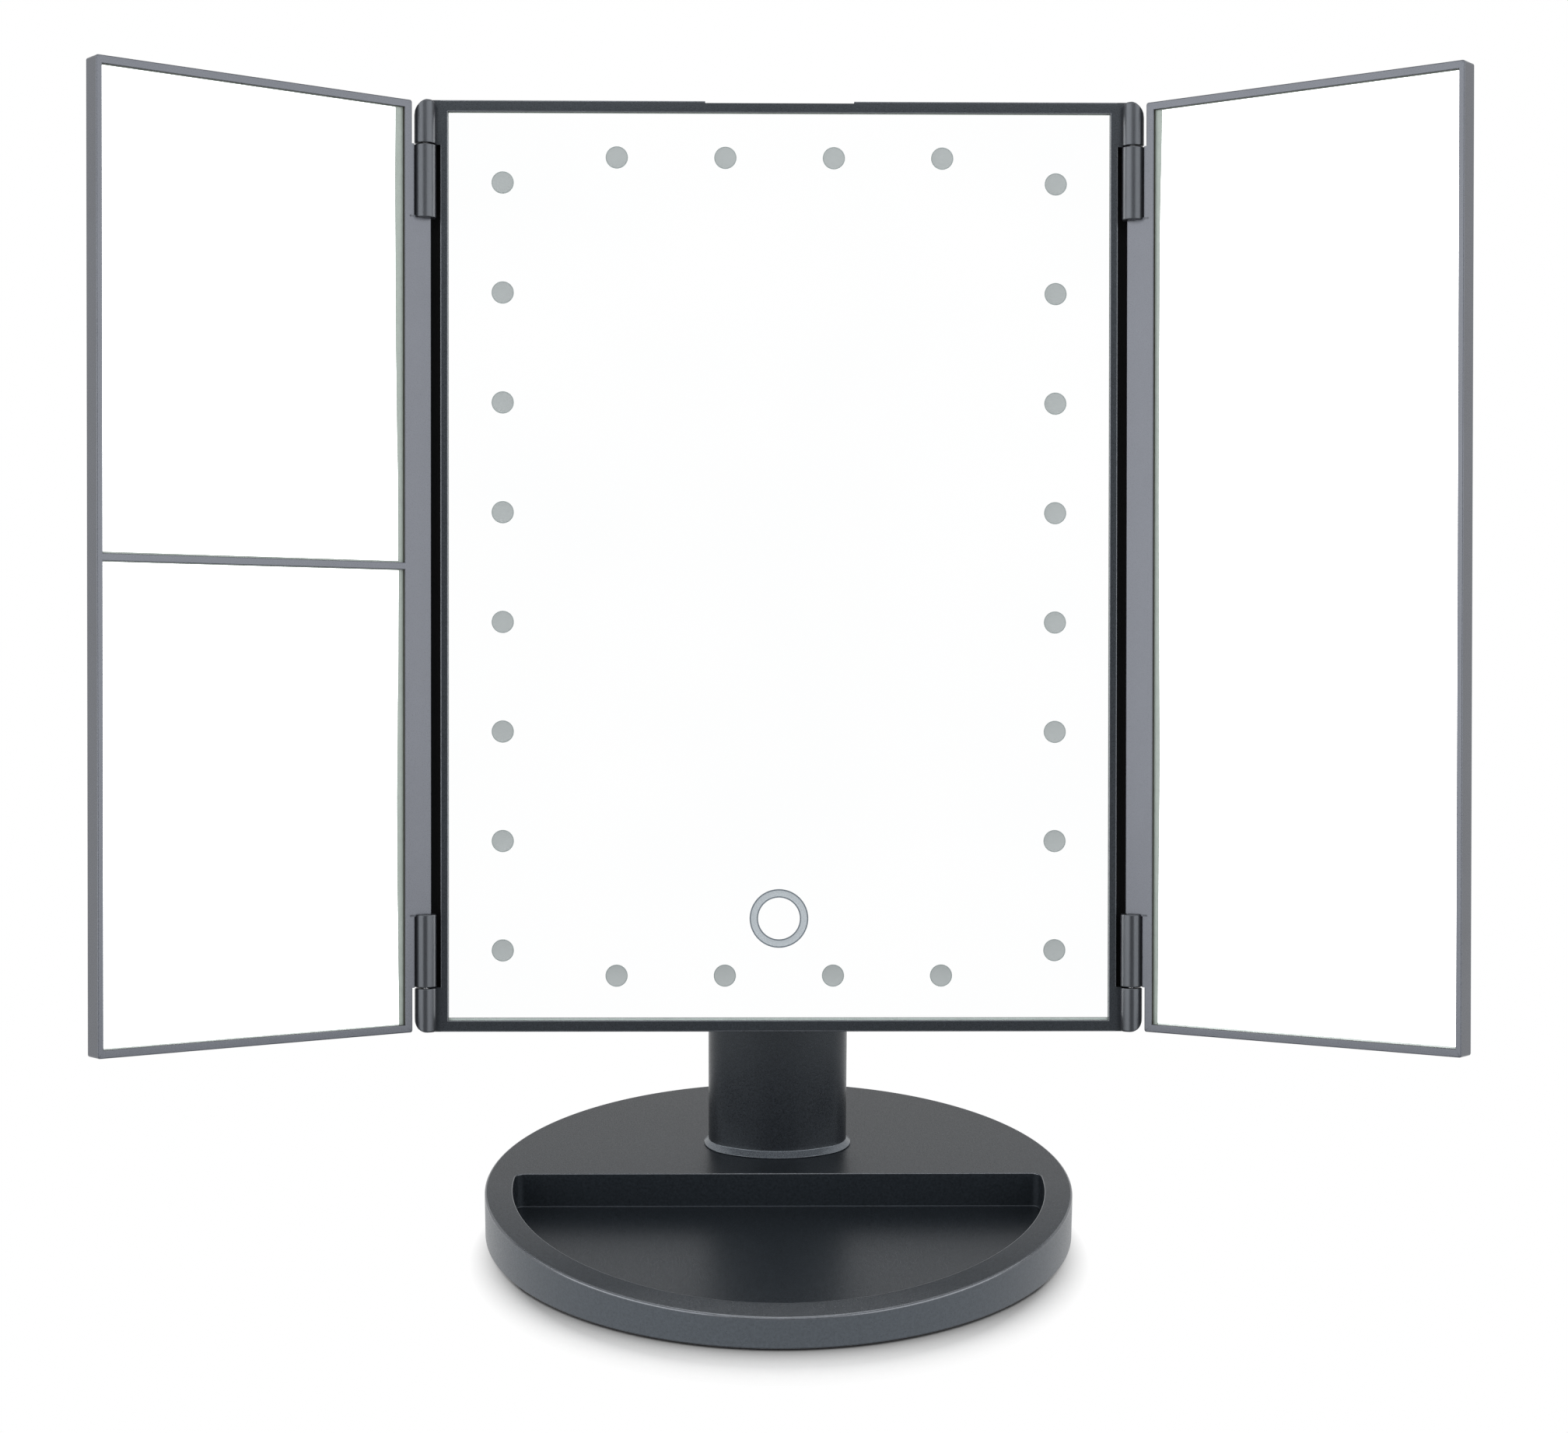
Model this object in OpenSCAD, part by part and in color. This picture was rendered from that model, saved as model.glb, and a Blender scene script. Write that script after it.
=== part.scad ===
// Trifold vanity mirror: a lit centre panel with two swinging side mirrors,
// on a tilting neck and a round tray base.
// Millimetres, +Z up. The origin is the centre of the base on the table, and the mirror faces -Y.

/* [Base] */
// Radius of the round base
base_r = 76; // [70:1:100]
// Height of the base's flat rear part above the table
base_h = 12.4; // [11:0.2:20]
// How far the top falls from the centre line to the front edge
base_drop = 4; // [0:0.5:5]
// Wall of the base moulding
base_wall = 1.8; // [1.4:0.1:2.4]
// Rounding of the base's upper outer edge
base_edge_r = 0.8; // [0.4:0.1:1.4]
// Rim between the tray and the base's outer edge
tray_rim = 7.2; // [5:0.2:12]
// Straight rear edge of the tray, behind the base's centre
tray_back = 6.7; // [2:0.1:9]
// Thickness of the tray's floor
tray_floor_t = 1.5; // [1:0.1:2.5]
// Thickness of the plate that closes the base from below
plate_t = 1.2; // [1:0.1:2]
// Radius of a rubber foot
foot_r = 5; // [3:0.5:8]
// How far a foot stands below the base moulding
foot_proud = 0.6; // [0.4:0.1:2]
// Radius of the circle on which the feet stand
foot_ring_r = 62; // [50:1:66]

/* [Neck] */
// Width of the neck
neck_w = 37; // [30:0.5:44]
// Depth of the neck's section
neck_d = 17.2; // [15:0.2:20]
// Rounding of the neck's two sides
neck_corner = 8; // [7:0.1:8.5]
// How far the neck's front bulges beyond the rounded sides
neck_bulge = 2.8; // [2:0.1:4]
// Rise of the flatter curve across the neck's back
neck_back_rise = 2.9; // [2:0.1:4]
// Wall of the hollow neck
neck_wall = 2; // [1.5:0.1:2.4]
// Gap between the tray's rear edge and the front of the neck
neck_gap = 11.7; // [8:0.1:16]
// Height of the tilt axis above the base's top
neck_rise = 65.3; // [58:0.1:90]
// How far the foot flange stands out round the neck
flange_out = 1.2; // [0.5:0.1:2]
// Height of the foot flange
flange_h = 2; // [1:0.1:3]

/* [Tilt hinge] */
// Backward tilt of the head at rest, in degrees
tilt = 11.7; // [0:0.1:40]
// Height of the tilt axis above the head's lower edge, along the panel
pivot_up = 30; // [26:0.5:40]
// Radius of the tilt axle
axle_r = 2.5; // [2:0.1:3]
// Radial running clearance of the axle in the neck
axle_fit = 0.05; // [0.02:0.01:0.1]
// Radius of the round boss at the top of the neck
boss_r = 6; // [5:0.1:7]
// Thickness of the two cheeks that hold the axle
cheek_t = 2.4; // [2:0.1:3]
// Thickness of a friction washer
washer_t = 0.5; // [0.3:0.1:1]
// Gap between the neck and the bottom of its slot
slot_clear = 0.4; // [0.3:0.1:1]

/* [Head] */
// Width of the head's front bezel
bezel_w = 174.8; // [165:0.2:200]
// Height of the head
head_h = 240; // [235:1:280]
// Visible lip at each side of the main mirror
lip_side = 2; // [1.8:0.1:4]
// Visible lip above and below the main mirror
lip_end = 2.9; // [2.4:0.1:5]
// Thickness of the lip in front of the glass
lip_t = 1.2; // [0.8:0.1:2]
// Wall of the front bezel outside the glass
bezel_wall = 1.2; // [1:0.1:1.6]
// Distance from the lip's front back to the ledge behind the side hinges
ledge_back = 2.6; // [2.5:0.1:3]
// Thickness of the ledge
ledge_t = 1.4; // [1:0.1:1.8]
// Wall of the head's wide rear body
shell = 1.8; // [1.4:0.1:2]
// Depth of the rear cover behind the seam
cover_d = 6; // [5:0.2:9]
// Chamfer round the back of the rear cover
cover_edge = 2.4; // [1:0.1:3]
// Width of the finger notch in the top edge
notch_w = 38.4; // [20:0.2:60]
// Depth of the finger notch
notch_h = 0.6; // [0.3:0.1:1.2]

/* [Side hinges] */
// Distance from the bezel's side to a side hinge's axis
hinge_out = 3.7; // [3.5:0.1:5]
// How far a side hinge's axis lies in front of the lip
hinge_proud = 1; // [0.8:0.1:1.4]
// Radius of the hinge knuckles
knuckle_r = 2.8; // [2.4:0.1:2.9]
// Length of a knuckle on the head
head_knuckle_l = 11.5; // [8:0.5:20]
// Length of a knuckle on a wing
wing_knuckle_l = 18.8; // [10:0.2:30]
// Gap between two knuckles
knuckle_gap = 0.25; // [0.2:0.05:0.5]
// Radius of a hinge pin
pin_r = 0.8; // [0.6:0.1:1.2]
// Radial running clearance of a pin in a wing's knuckle
pin_fit = 0.05; // [0.02:0.01:0.1]

/* [Wings] */
// Forward swing of the wings at rest, in degrees from flat
wing_swing = 37.5; // [0:0.5:90]
// Thickness of a wing
wing_t = 5.6; // [5:0.1:8]
// Gap between a knuckle and the wing's inner edge
wing_edge_gap = 1; // [0.8:0.1:2]
// Gap between the two wings when both are folded shut
wing_meet_gap = 1; // [0.6:0.1:3]
// How much each end of a wing stops short of the head's end
wing_short = 0.7; // [0.4:0.1:3]
// Visible lip round the wing mirrors
wing_lip = 2.2; // [1.8:0.1:4]
// Thickness of that lip in front of the glass
wing_lip_t = 1; // [0.8:0.1:1.4]
// Wall of a wing's frame outside the glass
wing_wall = 1.2; // [1:0.1:1.5]
// Bar between the left wing's two mirrors
wing_bar = 1.8; // [1.2:0.1:4]
// Thickness of the hinge strip between a wing's knuckles
strip_t = 2; // [1.6:0.1:2]
// How far the hinge strip reaches past the axis
strip_past = 1.9; // [1:0.1:1.9]

/* [Mirror glass] */
// Thickness of all mirror glass
glass_t = 2; // [1.6:0.1:2.4]
// Gap round a glass in its frame
glass_fit = 0.2; // [0.1:0.05:0.4]
// Thickness of the mounting tape behind a wing mirror
tape_t = 0.9; // [0.5:0.1:1]
// Width of a strip of mounting tape
tape_w = 10; // [6:1:16]

/* [Lights] */
// Radius of a frosted light window
window_r = 2.9; // [2:0.1:4]
// Depth of the frosted inlays in the glass
window_t = 0.3; // [0.2:0.1:0.6]
// Number of lights in each column
column_count = 8; // [4:1:8]
// Spacing of the lights in a column
column_pitch = 28.3; // [20:0.1:28.5]
// Distance of a column from the mirror's centre line
column_x = 71.4; // [60:0.1:72]
// Number of lights in each row
row_count = 4; // [2:1:4]
// Spacing of the lights in a row
row_pitch = 28; // [18:0.5:28]
// Distance of a row from the head's end
row_in = 14.4; // [9:0.1:17]
// Outer radius of the touch ring
ring_r = 7.6; // [5:0.1:8]
// Width of the touch ring's band
ring_band = 2.2; // [1:0.1:3]
// Height of the touch ring above the head's lower edge
ring_up = 29.2; // [28:0.2:40]
// Width of a light board
board_w = 8; // [7:0.2:9]
// Thickness of a light board
board_t = 0.8; // [0.6:0.1:1]
// Size of a light chip
chip_w = 3.5; // [2:0.1:4]
// Thickness of a light chip
chip_t = 0.7; // [0.5:0.1:0.8]
// Thickness of the carrier behind the light boards
carrier_t = 1.2; // [1:0.1:2]

/* [Power] */
// Radius of an AA cell
cell_r = 7.1; // [7:0.05:7.25]
// Length of an AA cell
cell_l = 50.3; // [49:0.1:50.5]
// Thickness of the battery door
door_t = 1.9; // [1.6:0.1:2.2]
// Thickness of the control board
pcb_t = 1.6; // [1:0.1:2]
// Width of the USB socket's shell
usb_w = 7.6; // [7:0.1:9]
// Height of the USB socket's shell
usb_h = 2.9; // [2.6:0.1:3.4]
// Length of the switch body
switch_l = 9; // [8:0.2:12]
// Travel of the power switch
switch_travel = 3; // [2:0.5:4]

/* [Hidden] */
$fn = 64;
SMOOTH = 180;               // facets of the large round outlines in plain views
CUT = 1;                    // overshoot of every cut
SKIN = 0.1;                 // gap between parts that lie against each other
MOULD = [0.17, 0.18, 0.19];
MOULD_WING = [0.3, 0.31, 0.33];
GLASS = [0.93, 0.95, 0.96];
STEEL = [0.7, 0.7, 0.72];
BOARD = [0.86, 0.87, 0.84];

// screws
screw_r = 1.2;
screw_head_r = 2.2;
screw_head_t = 1;
small_screw_r = 0.9;
small_head_r = 1.7;
pilot_floor = 0.6;          // skin left under a blind screw hole
screw_short = 1;            // how far a screw stops short of its hole's end

// base
plate_top = foot_proud + plate_t;
tray_floor_z = plate_top + SKIN + tray_floor_t;
tray_r = base_r - tray_rim;
plate_r = base_r - base_wall;
foot_sink = plate_t / 2;
neck_y = tray_back + neck_gap + neck_d / 2;
axis_z = base_h + neck_rise;
drop_steps = 16;
rim_step = 1;               // width of the step that the base plate sits against
plate_screw_in = 6;         // distance of the plate's screws from the base's wall
plate_screw_r = plate_r - plate_screw_in;
plate_screw_angles = [20, 62, 118, 160];
base_boss_r = 3.4;

// neck
flange_top = base_h + flange_h;
flange_foot = 0.3;          // height of the flange's upright edge under its bevel
tenon_w = neck_w - 2 * neck_wall;
tenon_d = neck_d / 2;
tenon_fit = 0.15;
neck_side_x = neck_w / 2 - neck_corner;     // centres of the rounded sides
neck_side_y = neck_bulge + neck_corner - neck_d / 2;
neck_front_r = (neck_side_x * neck_side_x + neck_bulge * neck_bulge) / (2 * neck_bulge) + neck_corner;
neck_back_r = (neck_w * neck_w / 4 + neck_back_rise * neck_back_rise) / (2 * neck_back_rise);
neck_core_top = axis_z - neck_d / 2 - neck_wall;
neck_window_side = 5.5;     // band left at each side of the rear window
neck_window_w = neck_w - 2 * neck_window_side;
neck_window_z = flange_top + neck_wall;
neck_window_top = neck_core_top - neck_wall;
neck_lap = 0.15;
neck_screw_x = neck_w / 4;
neck_screw_l = 9;

// depths in the head, measured back from the front of the lips
glass_back = lip_t + glass_t;
chip_y = glass_back + SKIN;
board_y = chip_y + chip_t;
carrier_y = board_y + board_t;
seam_y = carrier_y + carrier_t;
inner_y = seam_y + SKIN;    // front of what stands inside the rear cover
slot_wall = 1.3;            // wall between the neck's slot and the light carrier
cell_fit = 0.2;             // gap round a cell in its bay
slot_y = inner_y + slot_wall;
pivot_y = slot_y + slot_clear + neck_d / 2;
cover_y = seam_y + cover_d;
cell_y = slot_y + cell_fit + cell_r;
door_y = cell_y + cell_r + cell_fit + SKIN;
hump_y = door_y + door_t;

// widths and heights in the head
bezel_x = bezel_w / 2;
glass_x = bezel_x - bezel_wall - glass_fit;
glass_z = bezel_wall + glass_fit;
hinge_x = bezel_x + hinge_out;
body_past = 1.5;            // how far the rear body reaches past the hinge axes
body_x = hinge_x + body_past;
cover_boss_r = 2.1;
boss_x = glass_x + glass_fit + cover_boss_r + SKIN;
screw_in = 14.4;            // distance of the end screws from the head's ends
screw_zs = [screw_in, head_h / 2, head_h - screw_in];
carrier_rim = 2;

// slot, cheeks and battery bay
slot_x = neck_w / 2 + washer_t + SKIN;
cheek_x = slot_x + cheek_t;
slot_over = 0.8;            // gap above the neck's round top
slot_top = pivot_up + neck_d / 2 + slot_over;
contact_room = 1.9;         // room for the contacts at each end of the battery bay
cell_gap = 0.5;             // gap between the two rows of cells
bay_x = cell_l + contact_room;
bay_z = slot_top + shell;
bay_top = bay_z + 4 * cell_r + 2 * cell_fit + cell_gap;
bay_wall = 1.4;
wire_gap = 3.4;             // channel for the leads beside the battery bay
hump_x = bay_x + bay_wall + wire_gap + shell;
hump_z = 5;
hump_top = bay_top + bay_wall + shell;
hump_corner = 7;
hump_draft = 2.4;
door_lap = 0.6;             // how far the door laps over the bay's sides
door_x = bay_x + door_lap;
slide_fit = 0.2;            // running clearance of the door and the switch's knob
tongue = 1;
tongue_t = 0.8;
battery_plate_t = 0.4;
cells_z = [bay_z + cell_fit + cell_r, bay_top - cell_fit - cell_r];

// tilt hardware
axle_head_t = 2.6;
axle_head_r = 4.4;
spring_washer_t = 0.8;
nut_t = 3.6;
nut_r = 4.6;
axle_tip = 1.5;
washer_r = 5.5;

// control board and what stands on it
pcb_behind = 1;             // distance of the board behind the rear cover's back
pcb_side = 0.4;             // gap between the board and the housing's side
pcb_in_corner = 1;          // how far the board reaches into the housing's rounded corner
pcb_under = 1.6;            // gap between the board and the battery bay
pcb_past_axle = 2.8;        // gap between the axle's tip and the board
pcb_y = cover_y + pcb_behind;
pcb_x = hump_x - shell - pcb_side;
pcb_z = hump_z + hump_corner - pcb_in_corner;
pcb_top = bay_z - bay_wall - pcb_under;
pcb_left = cheek_x + spring_washer_t + nut_t + axle_tip + pcb_past_axle;
pcb_post_r = 2;
pcb_post_in = [3, 10];      // distances of the posts from the board's two side edges
pcb_post_x = [pcb_left + pcb_post_in[0], pcb_x - pcb_post_in[1]];
pcb_post_z = (pcb_z + pcb_top) / 2;
pcb_back = pcb_y + pcb_t;
usb_d = 6;
usb_wall = 0.35;
usb_up = 2.2;               // distance of the socket from the board's lower edge
usb_recess = 0.6;           // how far the socket's mouth lies inside the housing's side
usb_z = pcb_z + usb_up + usb_w / 2;
switch_gap = 1.7;           // gap between the socket and the switch
switch_z = usb_z + usb_w / 2 + switch_gap + switch_l / 2;
switch_h = 4.4;
switch_d = 5;
knob_w = 3;
knob_t = 2;
knob_out = 1.8;
lead_r = 0.6;
lead_pitch = 4 * lead_r;
lead_mid = bay_x + bay_wall + wire_gap / 2;
lead_xs = [lead_mid + lead_r + SKIN, lead_mid - lead_r - SKIN];
lead_ys = [pcb_back + lead_r, pcb_back + lead_r + lead_pitch];
lead_down = 2;              // distance of the leads' lower ends from the board's top edge
lead_low = pcb_top - lead_down;
lead_in = 4;                // distance of the first light lead from the board's inner edge

// wings, in their own frame: x from the hinge axis outwards, y back from the front face
wing_in = knuckle_r + wing_edge_gap;
wing_out = hinge_x - wing_meet_gap / 2;
wing_top = head_h - wing_short;
knuckle_z0 = head_knuckle_l + knuckle_gap;
knuckle_z1 = knuckle_z0 + wing_knuckle_l;
seat_in = wing_in + wing_wall;
seat_out = wing_out - wing_wall;
seat_z0 = wing_short + wing_wall;
seat_z1 = wing_top - wing_wall;
wing_glass_back = wing_lip_t + glass_t;
wing_back_y = wing_glass_back + tape_t;
pin_floor = 3;              // solid end of a head knuckle under its pin
pin_in_head = head_knuckle_l - pin_floor;
pin_in_wing = 12;
web = 0.5;                  // how far the knuckles' webs stand in front of what carries them

// places the head's parts on the neck's axis at their rest tilt
module on_head() {
    translate([0, neck_y, axis_z])
        rotate([-tilt, 0, 0])
            translate([0, -pivot_y, -pivot_up])
                children();
}

// places a wing's parts on the head, side 1 is +X and side -1 is -X
module on_wing(side) {
    on_head()
        mirror([side < 0 ? 1 : 0, 0, 0])
            translate([hinge_x, -hinge_proud, 0])
                rotate([0, 0, -wing_swing])
                    children();
}

// a box from one corner to the other
module block(low, high) {
    translate(low)
        cube(high - low);
}

// a cylinder along +Y
module bar_y(r, from, to) {
    translate([0, from, 0])
        rotate([-90, 0, 0])
            cylinder(r = r, h = to - from);
}

// a cylinder along +X
module bar_x(r, from, to) {
    translate([from, 0, 0])
        rotate([0, 90, 0])
            cylinder(r = r, h = to - from);
}

// a slab across the head with rounded corners, from depth y0 to y1
module slab(half_w, z0, z1, corner, y0, y1) {
    translate([0, y0, 0])
        rotate([-90, 0, 0])
            linear_extrude(y1 - y0) {
                translate([-half_w, -z1 + corner])
                    square([2 * half_w, z1 - z0 - 2 * corner]);
                translate([-half_w + corner, -z1])
                    square([2 * (half_w - corner), z1 - z0]);
            }
    for (x = [-half_w + corner, half_w - corner], z = [z0 + corner, z1 - corner])
        translate([x, 0, z])
            bar_y(corner, y0, y1);
}

// the neck's section, inset all round: two rounded sides, a bulging front and a flatter back
module neck_section(inset) {
    front_x = neck_side_x * (neck_front_r - inset) / (neck_front_r - neck_corner);
    intersection() {
        union() {
            for (x = [-neck_side_x, neck_side_x])
                translate([x, neck_side_y])
                    circle(neck_corner - inset, $fn = SMOOTH);
            intersection() {
                translate([0, neck_front_r - neck_d / 2])
                    circle(neck_front_r - inset, $fn = SMOOTH);
                square([2 * front_x, 2 * neck_d], center = true);
            }
        }
        translate([0, neck_d / 2 - neck_back_r])
            circle(neck_back_r - inset, $fn = SMOOTH);
    }
}

// the plain tenon that holds the neck in the base
module tenon(gap, z0, z1) {
    block([-tenon_w / 2 - gap, neck_y - tenon_d / 2 - gap, z0],
        [tenon_w / 2 + gap, neck_y + tenon_d / 2 + gap, z1]);
}

// ---- base ----

// what the falling front of the base takes off its top
module base_front_cut() {
    rise = [for (i = [0 : drop_steps]) let (t = i / drop_steps)
        [-(base_r + CUT) * t, base_h - base_drop * t * t]];
    top = base_h + 2 * CUT;
    rotate([90, 0, 90])
        translate([0, 0, -base_r - CUT])
            linear_extrude(2 * (base_r + CUT))
                polygon(concat(rise, [[-(base_r + CUT), top], [0, top]]));
}

module tray_space(top) {
    intersection() {
        translate([0, 0, tray_floor_z])
            cylinder(r = tray_r, h = top - tray_floor_z, $fn = SMOOTH);
        block([-base_r, -base_r, 0], [base_r, tray_back, top + CUT]);
    }
}

module base_screw_places() {
    for (a = plate_screw_angles)
        rotate([0, 0, a])
            translate([plate_screw_r, 0, 0])
                children();
}

// half of the base's section, with its rounded upper edge
module base_profile() {
    edge_z = base_h - base_edge_r;
    translate([0, foot_proud])
        square([base_r, edge_z - foot_proud]);
    translate([0, edge_z])
        square([base_r - base_edge_r, base_edge_r]);
    translate([base_r - base_edge_r, edge_z])
        intersection() {
            circle(base_edge_r);
            square(base_edge_r);
        }
}

module base_shell() {
    color(MOULD)
        difference() {
            rotate_extrude($fn = SMOOTH)
                base_profile();
            base_front_cut();
            tray_space(base_h + CUT);
            translate([0, 0, foot_proud - CUT])
                cylinder(r = plate_r + SKIN, h = plate_t + SKIN + CUT, $fn = SMOOTH);
            difference() {
                intersection() {
                    translate([0, 0, plate_top])
                        cylinder(r = plate_r - rim_step, h = base_h - base_wall - plate_top, $fn = SMOOTH);
                    block([-base_r, tray_back + base_wall, 0], [base_r, base_r, base_h]);
                }
                base_screw_places()
                    cylinder(r = base_boss_r, h = base_h);
            }
            base_screw_places()
                cylinder(r = screw_r, h = base_h - base_wall - pilot_floor);
            tenon(tenon_fit, 0, base_h + CUT);
        }
}

module base_plate() {
    color(MOULD)
        difference() {
            translate([0, 0, foot_proud])
                cylinder(r = plate_r, h = plate_t, $fn = SMOOTH);
            foot_places()
                cylinder(r = foot_r + SKIN, h = foot_proud + foot_sink);
            base_screw_places()
                plate_screw_hole();
            neck_screw_places()
                plate_screw_hole();
        }
}

// a screw's hole through the base plate, with the recess for its head
module plate_screw_hole() {
    cylinder(r = screw_r + SKIN, h = plate_top + CUT);
    cylinder(r = screw_head_r + SKIN, h = foot_proud + foot_sink);
}

module foot_places() {
    for (a = [45 : 90 : 315])
        rotate([0, 0, a])
            translate([foot_ring_r, 0, 0])
                children();
}

// a pan-head screw that points up, its head's underside against the seat at z = seat
module screw_up(seat, length) {
    translate([0, 0, seat - screw_head_t])
        cylinder(r = screw_head_r, h = screw_head_t);
    translate([0, 0, seat - SKIN])
        cylinder(r = screw_r, h = length + SKIN);
}

module base_plate_screws() {
    color(STEEL)
        base_screw_places()
            screw_up(foot_proud + foot_sink,
                base_h - base_wall - pilot_floor - foot_proud - foot_sink - screw_short);
}

module rubber_feet() {
    color([0.1, 0.1, 0.1])
        foot_places()
            cylinder(r = foot_r, h = foot_proud + foot_sink);
}

// ---- neck ----

module neck_screw_places() {
    for (side = [-1, 1])
        translate([side * neck_screw_x, neck_y, 0])
            children();
}

module neck_core() {
    translate([0, neck_y, flange_top])
        linear_extrude(neck_core_top - flange_top)
            neck_section(neck_wall);
}

module neck_window(fit) {
    block([-neck_window_w / 2 + fit, neck_y, neck_window_z + fit],
        [neck_window_w / 2 - fit, neck_y + neck_d, neck_window_top - fit]);
}

module neck() {
    color(MOULD)
        difference() {
            union() {
                tenon(0, plate_top + SKIN, flange_top);
                hull() {
                    translate([0, neck_y, base_h])
                        linear_extrude(flange_foot)
                            neck_section(-flange_out);
                    translate([0, neck_y, flange_top - SKIN])
                        linear_extrude(SKIN)
                            neck_section(0);
                }
                translate([0, neck_y, base_h])
                    linear_extrude(neck_rise)
                        neck_section(0);
                translate([0, neck_y, axis_z])
                    intersection() {
                        bar_x(neck_d / 2, -neck_w / 2, neck_w / 2);
                        linear_extrude(neck_d)
                            neck_section(0);
                    }
                translate([0, neck_y, axis_z])
                    bar_x(boss_r, -neck_w / 2, neck_w / 2);
            }
            neck_core();
            neck_window(0);
            translate([0, neck_y, axis_z])
                bar_x(axle_r + axle_fit, -neck_w, neck_w);
            neck_screw_places()
                cylinder(r = screw_r, h = plate_top + neck_screw_l + CUT);
        }
}

module neck_rear_cover() {
    color(MOULD)
        difference() {
            intersection() {
                translate([0, neck_y, neck_window_z])
                    linear_extrude(neck_window_top - neck_window_z)
                        neck_section(0);
                neck_window(neck_lap);
            }
            neck_core();
        }
}

module neck_screws() {
    color(STEEL)
        neck_screw_places()
            screw_up(foot_proud + foot_sink, neck_screw_l);
}

// ---- head shells ----

// the knuckle on the head's lower end of side +X, with its rounded outer shoulder
module head_knuckle() {
    translate([hinge_x, -hinge_proud, 0])
        difference() {
            union() {
                translate([0, 0, knuckle_r])
                    cylinder(r = knuckle_r, h = head_knuckle_l - knuckle_r);
                translate([0, 0, knuckle_r])
                    sphere(r = knuckle_r);
                block([-hinge_out - web, hinge_proud - web, 0],
                    [0, hinge_proud + ledge_back + web, head_knuckle_l]);
            }
            translate([0, 0, head_knuckle_l - pin_in_head])
                cylinder(r = pin_r, h = pin_in_head + CUT);
        }
}

// repeats what is drawn for the lower end of side +X at all four ends
module four_ends() {
    for (side = [0, 1], end = [0, 1])
        mirror([side, 0, 0])
            translate([0, 0, end * head_h])
                mirror([0, 0, end])
                    children();
}

module cover_screw_places() {
    for (x = [-boss_x, boss_x], z = screw_zs)
        translate([x, 0, z])
            children();
}

module head_frame() {
    color(MOULD)
        on_head() {
            difference() {
                union() {
                    block([-bezel_x, 0, 0], [bezel_x, ledge_back + ledge_t, head_h]);
                    slab(body_x, 0, head_h, knuckle_r, ledge_back, seam_y);
                    four_ends()
                        head_knuckle();
                    cover_screw_places()
                        bar_y(cover_boss_r, ledge_back + web, cover_y - shell - SKIN);
                }
                block([-bezel_x + lip_side, -CUT, lip_end],
                    [bezel_x - lip_side, lip_t + CUT, head_h - lip_end]);
                block([-glass_x - glass_fit, lip_t, glass_z - glass_fit],
                    [glass_x + glass_fit, seam_y + CUT, head_h - glass_z + glass_fit]);
                difference() {
                    block([-body_x + shell, ledge_back + ledge_t, shell],
                        [body_x - shell, seam_y + CUT, head_h - shell]);
                    cover_screw_places()
                        bar_y(cover_boss_r, 0, cover_y);
                }
                block([-notch_w / 2, -CUT, head_h - notch_h], [notch_w / 2, ledge_back, head_h + CUT]);
                cover_screw_places()
                    bar_y(small_screw_r, ledge_back + ledge_t, cover_y);
            }
        }
}

module cover_outside() {
    hull() {
        slab(body_x, 0, head_h, knuckle_r, seam_y, cover_y - cover_edge, $fn = 32);
        slab(body_x - cover_edge, cover_edge, head_h - cover_edge, knuckle_r, seam_y, cover_y, $fn = 32);
    }
}

module housing_outside() {
    hull() {
        slab(hump_x, hump_z, hump_top, hump_corner, cover_y, hump_y - hump_draft, $fn = 32);
        slab(hump_x - hump_draft, hump_z + hump_draft, hump_top - hump_draft, hump_corner - hump_draft,
            cover_y, hump_y, $fn = 32);
    }
}

// the room inside the housing, which also passes through the rear cover
module housing_room(gap, y0, y1) {
    slab(hump_x - shell - gap, hump_z + shell + gap, hump_top - shell - gap, hump_corner - shell, y0, y1);
}

module neck_slot() {
    block([-slot_x, slot_y, -CUT], [slot_x, hump_y + CUT, slot_top]);
}

module pcb_posts(r, from, to) {
    for (x = pcb_post_x)
        translate([x, 0, pcb_post_z])
            bar_y(r, from, to);
}

// walls that stand inside the housing: the neck's slot, the battery bay and the board's posts
module housing_walls() {
    block([-cheek_x, inner_y, 0], [cheek_x, hump_y, slot_top + shell]);
    block([-bay_x - bay_wall, inner_y, slot_top], [bay_x + bay_wall, hump_y, bay_top + bay_wall]);
    pcb_posts(pcb_post_r, pcb_back, hump_y);
}

module rear_cover() {
    color(MOULD)
        on_head()
            difference() {
                cover_outside();
                difference() {
                    slab(body_x - shell, shell, head_h - shell, knuckle_r - shell / 2,
                        seam_y - CUT, cover_y - shell);
                    block([-cheek_x, inner_y, 0], [cheek_x, cover_y, hump_z + shell]);
                }
                housing_room(0, seam_y - CUT, cover_y + CUT);
                neck_slot();
                cover_screw_places() {
                    bar_y(small_screw_r + SKIN, seam_y, cover_y + CUT);
                    bar_y(small_head_r + SKIN, cover_y - screw_head_t, cover_y + CUT);
                }
            }
}

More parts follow.
